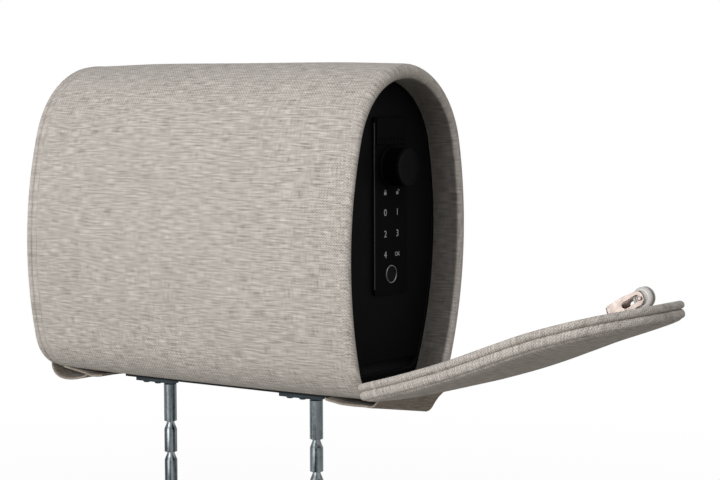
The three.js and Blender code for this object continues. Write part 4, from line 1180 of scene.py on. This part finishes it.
@dataclass
class Catch:
    """A flap's roller catch, drawn in the flap's own place, and the plate that stands for its strike.

    Along runs up from the flap's foot, and height is measured off its inner face. A plate is given as
    (along from, along to, height from, height to). The foot plate ends short of the roller's slide.
    """

    side: Side
    flap: EndFlap
    y: float = 8.0
    foot: float = 15.5
    axle: tuple[float, float] = (202.6, 6.3)
    roller: tuple[float, float] = (7.3, 8.0)
    axle_radius: float = 1.5
    axle_half: float = 6.7
    screw: tuple[float, float] = (180.0, 2.8)
    cheek: tuple[tuple[float, float], ...] = ((175.8, 0.3), (175.8, 6.3), (176.6, 7.0), (189.6, 10.3),
                                              (192.2, 10.6), (199.6, 11.3))
    tip: tuple[float, float, float] = (200.2, 6.4, 4.9)
    slot: tuple[float, float, float, float, float] = (189.8, 4.4, 200.0, 6.9, 2.4)
    cheek_y: tuple[float, float] = (2.7, 13.3)
    sheet: float = 1.0
    heel: tuple[float, float] = (196.0, 0.3)
    slot_step: float = 0.6
    foot_plate: tuple[float, float, float, float] = (175.8, 190.8, 0.3, 1.3)
    lip_plate: tuple[float, float, float, float] = (175.3, 176.3, 0.3, 6.4)
    strike_section: tuple[float, float, float] = (10.0, 1.6, 0.6)
    strike_x: tuple[float, float] = (127.0, 136.5)
    strike_z: float = 230.3

    def local(self, along: float, height: float) -> np.ndarray:
        """A place off the flap's inner face, in the model's frame, without the bend of its pads."""
        return self.flap.place(np.array([-height, self.y, self.foot + along]), bent=False)

    def frame(self) -> Matrix:
        """The matrix that takes (along, height, y) in metres to the model's frame."""
        start = self.local(0.0, 0.0)
        along, height = self.local(1.0, 0.0) - start, self.local(0.0, 1.0) - start
        columns = np.stack([along, height, [0.0, 1.0, 0.0]], 1)
        turned = Matrix([list(row) for row in columns]).to_4x4()
        return Matrix.Translation(Vector((start[0] * MM, 0, start[2] * MM))) @ turned

    def seat_piece(self, piece: bpy.types.Object, finish: Finish, body: str, node: str = "") -> None:
        """Gives a piece its finish and body, and the CAD node that it stands for, if any."""
        finish.on(piece)
        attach(piece, body)
        if node:
            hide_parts(f"{node}_{self.side.word}")

    def build_cheek(self, k: int, y: float) -> None:
        """One slotted cheek: a filled curve with a hole, given the sheet's thickness and a fine bevel."""
        tip_a, tip_h, tip_r = self.tip
        turn = np.linspace(math.radians(96), math.radians(-100), 14)
        tip = np.stack([tip_a + tip_r * np.cos(turn), tip_h + tip_r * np.sin(turn)], -1)
        outline = np.concatenate([self.cheek, tip, [self.heel]])
        a0, h0, a1, h1, radius = self.slot
        radius -= self.slot_step * k
        lean = math.atan2(h1 - h0, a1 - a0)
        half = np.linspace(-math.pi / 2, math.pi / 2, 9)
        right = np.stack([a1 + radius * np.cos(half + lean), h1 + radius * np.sin(half + lean)], -1)
        left = np.stack([a0 - radius * np.cos(half + lean), h0 - radius * np.sin(half + lean)], -1)
        curve = bpy.data.curves.new("cheek", "CURVE")
        curve.dimensions = "2D"
        curve.fill_mode = "BOTH"
        curve.extrude = (self.sheet / 2 - 0.15) * MM
        curve.bevel_depth = 0.15 * MM
        for ring in (outline, np.concatenate([right, left])):
            spline = curve.splines.new("POLY")
            spline.points.add(len(ring) - 1)
            spline.points.foreach_set("co", np.concatenate(
                [ring * MM, np.zeros((len(ring), 1)), np.ones((len(ring), 1))], 1).ravel())
            spline.use_cyclic_u = True
        item = bpy.data.objects.new("cheek", curve)
        bpy.context.scene.collection.objects.link(item)
        mesh = bpy.data.meshes.new_from_object(item.evaluated_get(bpy.context.evaluated_depsgraph_get()))
        bpy.data.objects.remove(item)
        self.carry(mesh, y)
        piece = link(mesh, f"catch_cheek_{self.side.word}_{k}")
        self.seat_piece(piece, NICKEL, f"flap_{self.side.word}", "catch_bracket" if k == 0 else "")

    def carry(self, mesh: bpy.types.Mesh, y: float) -> None:
        """Moves a mesh drawn as (along, height, y from here) in metres into the flap's place."""
        onto = self.frame() @ Matrix.Translation(Vector((0, 0, y * MM)))
        mesh.transform(onto)
        if onto.determinant() < 0:
            mesh.flip_normals()

    def build_plates(self) -> None:
        """The bracket's foot on the pad and its turned-up lip, between the cheeks."""
        y0, y1 = self.cheek_y
        over = self.sheet / 2
        for word, (a0, a1, h0, h1) in (("foot", self.foot_plate), ("lip", self.lip_plate)):
            rings = np.array([[(a0, h0, y), (a1, h0, y), (a1, h1, y), (a0, h1, y)]
                              for y in (y0 - over, y1 + over)])
            piece = ring_prism(f"catch_{word}_{self.side.word}", rings)
            self.carry(piece.data, 0.0)
            self.seat_piece(piece, NICKEL, f"flap_{self.side.word}")

    def build_strike(self) -> None:
        """A flat plate under the recess's roof that stands for the strike.

        It is smaller, higher and further in than the solid strike, to keep out of the photograph's view. The
        roller doesn't reach it.
        """
        outline = rounded_ring(*self.strike_section) + np.array([self.y, self.strike_z])
        rings = np.stack([np.concatenate([np.full((len(outline), 1), self.side.sign * x), outline], 1)
                          for x in self.strike_x])
        # painted shade: the strike is near-black so that it sinks into the shade under the roof
        self.seat_piece(ring_prism(f"strike_{self.side.word}", rings), SHADE, "case", "catch_strike")

    def build(self) -> None:
        """Makes the roller, the axle and the other pieces."""
        word = self.side.word
        at = tuple(self.local(*self.axle))
        radius, length = self.roller
        bore, half, soft = self.axle_radius + 0.3, length / 2, 2.4
        corner = np.linspace(0, math.pi / 2, 6)
        right = [(radius - soft + soft * math.sin(a), half - soft + soft * math.cos(a)) for a in corner]
        left = [(r, -h) for r, h in right][::-1]
        line = [(bore, -half), *left, *right, (bore, half)]
        roller = turned_piece(f"roller_turned_{word}", line, at, Axis.Y, 64, loop=True)
        self.seat_piece(roller, ROLLER, f"roller_{word}", "catch_roller")
        pin, ends = self.axle_radius, self.axle_half
        shaft = [(0.2, -ends - 0.3), (pin * 0.7, -ends - 0.3), (pin, -ends), (pin, ends),
                 (pin * 0.7, ends + 0.3), (0.2, ends + 0.3)]
        axle = turned_piece(f"axle_turned_{word}", shaft, at, Axis.Y, 32)
        self.seat_piece(axle, NICKEL, f"axle_{word}", "catch_axle")
        for k, y in enumerate(self.cheek_y):
            self.build_cheek(k, y)
        self.build_plates()
        self.build_screw()
        self.build_strike()

    def build_screw(self) -> None:
        """Makes the round-headed screw: turned about X at the origin, then put in the flap's place."""
        along, head = self.screw
        line = [(0.2, -3.3), (1.5, -3.3), (1.5, 1.8), (head, 1.8), (head, 2.3), (head * 0.85, 3.1),
                (head * 0.45, 3.55), (0.3, 3.6)]
        screw = turned_piece(f"catch_screw_turned_{self.side.word}", line, (0, 0, 0), Axis.X, 32)
        foot, up = self.local(along, 0.0), self.local(along, 1.0)
        turn = Vector((1, 0, 0)).rotation_difference(Vector(tuple(up - foot))).to_matrix().to_4x4()
        screw.data.transform(Matrix.Translation(Vector(tuple(foot * MM))) @ turn)
        self.seat_piece(screw, BRIGHT, f"flap_{self.side.word}", "catch_screw")


@dataclass
class SafeFront:
    """What shows on the drawer's front: knob, fingerprint ring, key legends and a painted highlight along the
    plate's edge.
    """

    plate_x: float = 126.3
    middle: float = 19.65
    knob_z: float = 168.0
    knob_x: tuple[float, float, float] = (126.6, 128.0, 142.0)
    knob_r: tuple[float, float] = (15.4, 14.0)
    reader_z: float = 90.0
    reader_r: tuple[float, float] = (5.6, 6.8)
    columns: tuple[float, float] = (12.6, 27.4)
    rows: tuple[float, ...] = (149.5, 134.8, 119.3, 104.2)
    legends: tuple[tuple[str, int, int], ...] = (("0", 0, 1), ("1", 1, 1), ("2", 0, 2), ("3", 1, 2),
                                                 ("4", 0, 3), ("OK", 1, 3))
    letter: float = 7.0
    # where the painted edge highlight lies: y from, y to, z from, z to
    edge: tuple[float, float, float, float] = (-0.55, -0.25, 80.0, 200.0)

    def build_knob(self) -> None:
        """The knob: a skirt, a gripped wall with shallow flutes and a slightly dished face."""
        back, base, front = self.knob_x
        skirt, radius = self.knob_r
        line = [(3.3, back + 8), (3.3, back), (skirt - 0.3, back), (skirt, back + 0.3), (skirt, base - 0.4),
                (skirt - 0.4, base), (radius, base + 0.8), (radius, base + 1.6), (radius, front - 1.6),
                (radius - 0.3, front - 0.8), (radius - 0.9, front - 0.25), (radius - 1.7, front),
                (radius - 2.6, front - 0.25), (radius - 4, front - 0.4), (4, front - 0.4), (0.3, front - 0.4)]
        knob = KNOB.on(turned_piece("fluted_knob", line, (0, self.middle, self.knob_z), Axis.X, 144, 24, 0.45,
                                    (base + 1, front - 1.5)))
        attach(knob, "knob")
        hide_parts("lock_knob")

    def build_ring(self) -> None:
        """The fingerprint reader's bright ring, turned from a rounded profile."""
        inside, outside = self.reader_r
        x0, x1 = self.plate_x - 0.7, self.plate_x + 0.35
        middle, half = (inside + outside) / 2, (outside - inside) / 2
        angle = np.linspace(0, math.pi, 9)
        arc = [(middle + half * math.cos(a), x1 - 0.35 + 0.6 * math.sin(a)) for a in angle]
        ring = RING.on(turned_piece("reader_ring", [(inside, x0), (outside, x0), *arc],
                                      (0, self.middle, self.reader_z), Axis.X, 96, loop=True))
        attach(ring, "drawer")
        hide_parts("fingerprint_ring")

    def printed(self, name: str, outline: bpy.types.Object, finish: Finish) -> None:
        """Makes a flat curve or text on the YZ plane a thin mesh on the plate.

        Args:
            name: The finished piece's name.
            outline: The object, drawn in its own X and Y in metres about its place.
            finish: Its finish.
        """
        graph = bpy.context.evaluated_depsgraph_get()
        mesh = bpy.data.meshes.new_from_object(outline.evaluated_get(graph))
        place = outline.location.copy()
        bpy.data.objects.remove(outline)
        onto = Matrix(((0, 0, 1, place.x), (1, 0, 0, place.y), (0, 1, 0, place.z), (0, 0, 0, 1)))
        mesh.transform(onto)
        mesh.materials.clear()
        piece = finish.on(link(mesh, name))
        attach(piece, "drawer")

    def write(self, text: str, y: float, z: float, size: float) -> None:
        """Prints a key's legend, centred on a place of the plate."""
        curve = bpy.data.curves.new(f"legend_{text}", "FONT")
        curve.body = text
        curve.size = size * MM
        curve.align_x = "CENTER"
        curve.align_y = "CENTER"
        curve.extrude = 0.05 * MM
        curve.space_character = 0.95
        item = bpy.data.objects.new(curve.name, curve)
        bpy.context.scene.collection.objects.link(item)
        item.location = (self.plate_x * MM + 0.00006, y * MM, z * MM)
        self.printed(f"legend_{text}_print", item, LEGEND)

    def padlock(self, name: str, y: float, z: float, lifted: float) -> None:
        """Prints a small padlock: a body and a shackle, both bands on the plate.

        Args:
            name: The piece's name.
            y: Its place across the plate.
            z: Its height.
            lifted: How far the shackle is swung aside, for the open lock.
        """
        body = rounded_ring(2.8, 2.1, 0.3) + np.array([0, -0.7])
        angle = np.linspace(math.pi, 0, 13)
        outer = np.stack([lifted + 1.0 * np.cos(angle), 0.9 + 1.0 * np.sin(angle)], -1)
        inner = np.stack([lifted + 0.6 * np.cos(angle), 0.9 + 0.6 * np.sin(angle)], -1)
        legs = np.array([[lifted - 1.0, 0.3]]), np.array([[lifted - 0.6, 0.3]])
        foot = 0.3 if lifted == 0 else 0.8
        shackle = np.concatenate([legs[0], outer, [[lifted + 1.0, foot]], [[lifted + 0.6, foot]], inner[::-1],
                                  legs[1]])
        for word, shape in (("body", body), ("shackle", shackle)):
            rings = np.stack([np.stack([np.full(len(shape), self.plate_x + x), y + shape[:, 0],
                                        z + shape[:, 1]], -1) for x in (0.01, 0.11)])
            piece = LEGEND.on(ring_prism(f"{name}_{word}", rings))
            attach(piece, "drawer")

    def build_edge(self) -> None:
        """A grey strip along the plate's front edge: a painted highlight where its rounded edge catches the
        light.
        """
        y0, y1, z0, z1 = self.edge
        rings = np.array([[(x, y0, z0), (x, y1, z0), (x, y1, z1), (x, y0, z1)]
                          for x in (self.plate_x - 0.6, self.plate_x + 0.1)])
        edge = EDGE_HIGHLIGHT.on(ring_prism("plate_edge", rings))
        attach(edge, "drawer")

    def build(self) -> None:
        """Makes the front's pieces."""
        self.build_knob()
        self.build_ring()
        for text, column, row in self.legends:
            size = self.letter * (0.6 if len(text) > 1 else 1.0)
            self.write(text, self.columns[column], self.rows[row], size)
        self.padlock("lock_icon", self.columns[0], self.rows[0], 0.0)
        self.padlock("unlock_icon", self.columns[1], self.rows[0], 1.6)
        self.build_edge()
        log.info("safe front: knob, ring, %d legends", len(self.legends))


def ring_prism(name: str, rings: np.ndarray) -> bpy.types.Object:
    """A thin prism between two equal outlines, each closed by one face.

    Args:
        name: The object's name.
        rings: Two outlines in millimetres, as (2, points, 3).

    Returns:
        The object with its faces outwards.
    """
    count = rings.shape[1]
    j = np.arange(count)
    after = (j + 1) % count
    quads = np.stack([j, after, count + after, count + j], -1)
    places = rings.reshape(-1, 3)
    caps = [list(range(count))[::-1], list(range(count, 2 * count))]
    if not faces_out(places - places.mean(0), quads):
        quads = quads[:, ::-1]
        caps = [cap[::-1] for cap in caps]
    mesh = bpy.data.meshes.new(name)
    mesh.from_pydata((places * MM).tolist(), [], quads.tolist() + caps)
    mesh.update()
    return link(mesh, name)


@dataclass
class TrayLiner:
    """The padded felt liner of the drawer's tray."""

    x: tuple[float, float] = (-107.0, 91.9)
    y: tuple[float, float] = (-36.0, 48.1)
    z: tuple[float, float] = (34.5, 138.0)
    wall: float = 4.0
    base: float = 8.0

    def build(self) -> None:
        """Carries rounded rectangles up the outside, over a rounded lip and down the inside."""
        width, depth = self.x[1] - self.x[0], self.y[1] - self.y[0]
        low, high = self.z
        floor = low + self.base
        lip = np.linspace(0, math.pi, 7)
        half = self.wall / 2
        path = [(0.9, low, 0.5), (0.0, low + 0.5, 1.0)]
        path += [(0.0, z, 3.0) for z in np.linspace(low + 3, high - half, 5)]
        path += [(half - half * math.cos(a), high - half + half * math.sin(a), 3.0) for a in lip[1:-1]]
        path += [(self.wall, z, 3.0) for z in np.linspace(high - half, floor + 3, 5)]
        path += [(self.wall + 0.9, floor + 0.9, 2.5), (self.wall + 3, floor, 2.0),
                 (self.wall + 20, floor, 2.0),
                 (self.wall + 35, floor, 1.0)]
        rings = []
        for inset, z, radius in path:
            flat = rounded_ring(width - 2 * inset, depth - 2 * inset, max(radius, 0.5))
            rings.append(np.concatenate([flat + np.array([sum(self.x) / 2, sum(self.y) / 2]),
                                         np.full((len(flat), 1), z)], 1))
        liner = FELT.on(skin("felt_liner", np.stack(rings), crease=60.0))
        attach(liner, "drawer")
        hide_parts("tray_liner")
        log.info("tray liner: %.0f by %.0f mm", width, depth)


# Camera, light and floor


@dataclass
class Studio:
    """A pale floor, a white backdrop, soft lamps and the photograph's camera."""

    place: tuple[float, float, float] = (1.000989, -1.195741, 0.229821)
    forward: tuple[float, float, float] = (-0.59453, 0.80042, -0.07655)
    turn: float = 36.606
    roll: float = -0.231
    lens: float = 103.5
    floor: float = -0.1642
    ambient: float = 0.34
    lamps: tuple[tuple[str, tuple, tuple, float, float], ...] = (
        ("key", (-0.15, -2.0, 0.5), (0.0, 0.0, 0.12), 1.3, 27.0),
        ("rim", (1.3, -0.5, 1.3), (0.15, 0.0, 0.15), 0.8, 5.0),
    )

    def build_camera(self) -> None:
        """Builds the camera's axes from its heading, its tilt and its roll."""
        heading, roll = math.radians(self.turn), math.radians(self.roll)
        forward = Vector(self.forward).normalized()
        right = Vector((math.cos(heading), math.sin(heading), 0))
        up = right.cross(forward)
        turned_right = right * math.cos(roll) + up * math.sin(roll)
        turned_up = -right * math.sin(roll) + up * math.cos(roll)
        data = bpy.data.cameras.new("photo_camera")
        data.sensor_width = 36.0
        data.lens = self.lens
        data.clip_start = 0.01
        camera = bpy.data.objects.new("photo_camera", data)
        bpy.context.scene.collection.objects.link(camera)
        axes = Matrix((turned_right, turned_up, -forward)).transposed().to_4x4()
        camera.matrix_world = Matrix.Translation(Vector(self.place)) @ axes
        bpy.context.scene.camera = camera

    def build_lamps(self) -> None:
        """Hangs each square lamp at its place, aimed at its target."""
        for name, place, target, size, power in self.lamps:
            data = bpy.data.lights.new(name, "AREA")
            data.size = size
            data.energy = power
            lamp = bpy.data.objects.new(name, data)
            bpy.context.scene.collection.objects.link(lamp)
            lamp.location = place
            lamp.rotation_euler = (Vector(target) - Vector(place)).to_track_quat("-Z", "Y").to_euler()

    def seen(self, tree: bpy.types.NodeTree) -> Field:
        """1 on rays from the camera or off gloss and through glass, and 0 on the others."""
        node = tree.nodes.new("ShaderNodeLightPath")
        parts = [Field(tree, node.outputs[k]) for k in
                 ("Is Camera Ray", "Is Glossy Ray", "Is Transmission Ray")]
        return (parts[0] + parts[1] + parts[2]).held()

    def build_world(self) -> None:
        """White where it is seen, and a soft grey where it only lights."""
        world = bpy.data.worlds.new("studio")
        world.use_nodes = True
        tree = world.node_tree
        tree.nodes.clear()
        fill, white = (tree.nodes.new("ShaderNodeBackground") for _ in range(2))
        fill.inputs["Color"].default_value = (1.0, 0.985, 0.96, 1.0)
        fill.inputs["Strength"].default_value = self.ambient
        white.inputs["Color"].default_value = (1.0, 1.0, 1.0, 1.0)
        mix = tree.nodes.new("ShaderNodeMixShader")
        out = tree.nodes.new("ShaderNodeOutputWorld")
        tree.links.new(self.seen(tree).socket, mix.inputs[0])
        tree.links.new(fill.outputs[0], mix.inputs[1])
        tree.links.new(white.outputs[0], mix.inputs[2])
        tree.links.new(mix.outputs[0], out.inputs["Surface"])
        bpy.context.scene.world = world

    def build_floor(self) -> None:
        """A plain floor: a pale matt surface that is mostly plain white where it is seen."""
        mesh = bpy.data.meshes.new("floor")
        reach = 6.0
        mesh.from_pydata([(-reach, -reach, self.floor), (reach, -reach, self.floor),
                          (reach, reach, self.floor), (-reach, reach, self.floor)], [], [(0, 1, 2, 3)])
        floor = link(mesh, "floor")
        material = bpy.data.materials.new("pale_floor")
        material.use_nodes = True
        tree = material.node_tree
        tree.nodes.clear()
        matt = tree.nodes.new("ShaderNodeBsdfDiffuse")
        matt.inputs["Color"].default_value = (0.4, 0.385, 0.36, 1.0)
        glow = tree.nodes.new("ShaderNodeEmission")
        mix = tree.nodes.new("ShaderNodeMixShader")
        out = tree.nodes.new("ShaderNodeOutputMaterial")
        place = tree.nodes.new("ShaderNodeTexCoord")
        reach = tree.nodes.new("ShaderNodeVectorMath")
        reach.operation = "LENGTH"
        tree.links.new(place.outputs["Object"], reach.inputs[0])
        share = Field(tree, reach.outputs["Value"]).above(0.35, 0.6) * 0.04 + 0.96
        tree.links.new((self.seen(tree) * share).socket, mix.inputs[0])
        tree.links.new(matt.outputs[0], mix.inputs[1])
        tree.links.new(glow.outputs[0], mix.inputs[2])
        tree.links.new(mix.outputs[0], out.inputs["Surface"])
        mesh.materials.append(material)

    def build(self) -> None:
        """Sets up the camera, the lamps, the world and the floor."""
        self.build_camera()
        self.build_lamps()
        self.build_world()
        self.build_floor()
        bpy.context.scene.view_settings.view_transform = "Standard"


# The open flap's bend: millimetres off its plane at shares of its length from the hinge
OPEN_BEND = ((0.0, 0.0), (0.2, 1.9), (0.36, 2.3), (0.46, 1.6), (0.57, 0.1), (0.7, -1.3), (0.86, -0.5),
             (1.0, 2.2))

# The straps' routes in X and Z, from the sewn end of the tail to the flap, set from the photograph
RIGHT_TAIL = ((109.4, 4.0), (117.0, 1.8), (124.0, -1.1), (136.0, -3.2), (147.6, -4.0))
RIGHT_LOOP = ((147.9, -4.0), (150.4, -3.3), (152.6, -1.4), (155.0, 1.6), (158.2, 4.9), (162.0, 7.8),
              (166.0, 10.4))
LEFT_TAIL = ((108.4, 3.4), (114.0, 1.8), (121.0, 0.3), (128.0, 0.4), (149.8, 3.0))
LEFT_LOOP = ((126.6, 4.2), (125.4, 2.4), (128.6, 0.6), (136.0, -1.2), (144.0, -2.2), (152.0, -1.9),
             (158.8, 0.8), (162.2, 5.6), (162.6, 11.0), (162.0, 15.0))


def open_flap() -> EndFlap:
    """The right flap: its pads stand out past the solids' sides, as the open flap's do in the photograph."""
    inner = Pad("inner", -0.6, 5.4, 14.5, 234.0, (18.0, 24.0), (-0.6, -0.6, 0.0))
    outer = Pad("outer", 4.7, 6.6, 14.5, 232.6, (18.0, 24.0), (-0.6, -0.6, 0.0), edge=3.0, crown=6.6,
                fullness=(3.2, 0.6))
    return EndFlap(Side.RIGHT, bend=OPEN_BEND, pads=(inner, outer))


def closed_flap() -> EndFlap:
    """The left flap: its pads lie on the rim, drawn in with the body's end."""
    inner = Pad("inner", -0.45, 5.2, 5.1, 242.4, (38.0, 24.0), (6.5, 5.2, 0.0), edge=0.4)
    outer = Pad("outer", 5.1, 5.4, 7.2, 242.0, (32.0, 32.0), (6.0, 5.0, 0.0), crown=1.0)
    return EndFlap(Side.LEFT, open_angle=0.0, pivot=(152.3, 9.7), pads=(inner, outer))


def main() -> None:
    """Builds the scene in order."""
    logging.basicConfig(level=logging.INFO, format="%(message)s")
    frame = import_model()
    nodes = frame["nodes"]
    Studio().build()
    Upholstery().build()
    for flap in (open_flap(), closed_flap()):
        flap.build()
        Catch(flap.side, flap).build()
    Strap(Side.RIGHT, RIGHT_TAIL, RIGHT_LOOP, (1.33, 0.45)).build()
    Strap(Side.LEFT, LEFT_TAIL, LEFT_LOOP, (0.9, 0.0), loop_tilt=(0.0, 0.0)).build()
    Hardware().build(nodes)
    Posts().build()
    SafeFront().build()
    TrayLiner().build()
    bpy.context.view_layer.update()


if __name__ == "__main__":
    main()
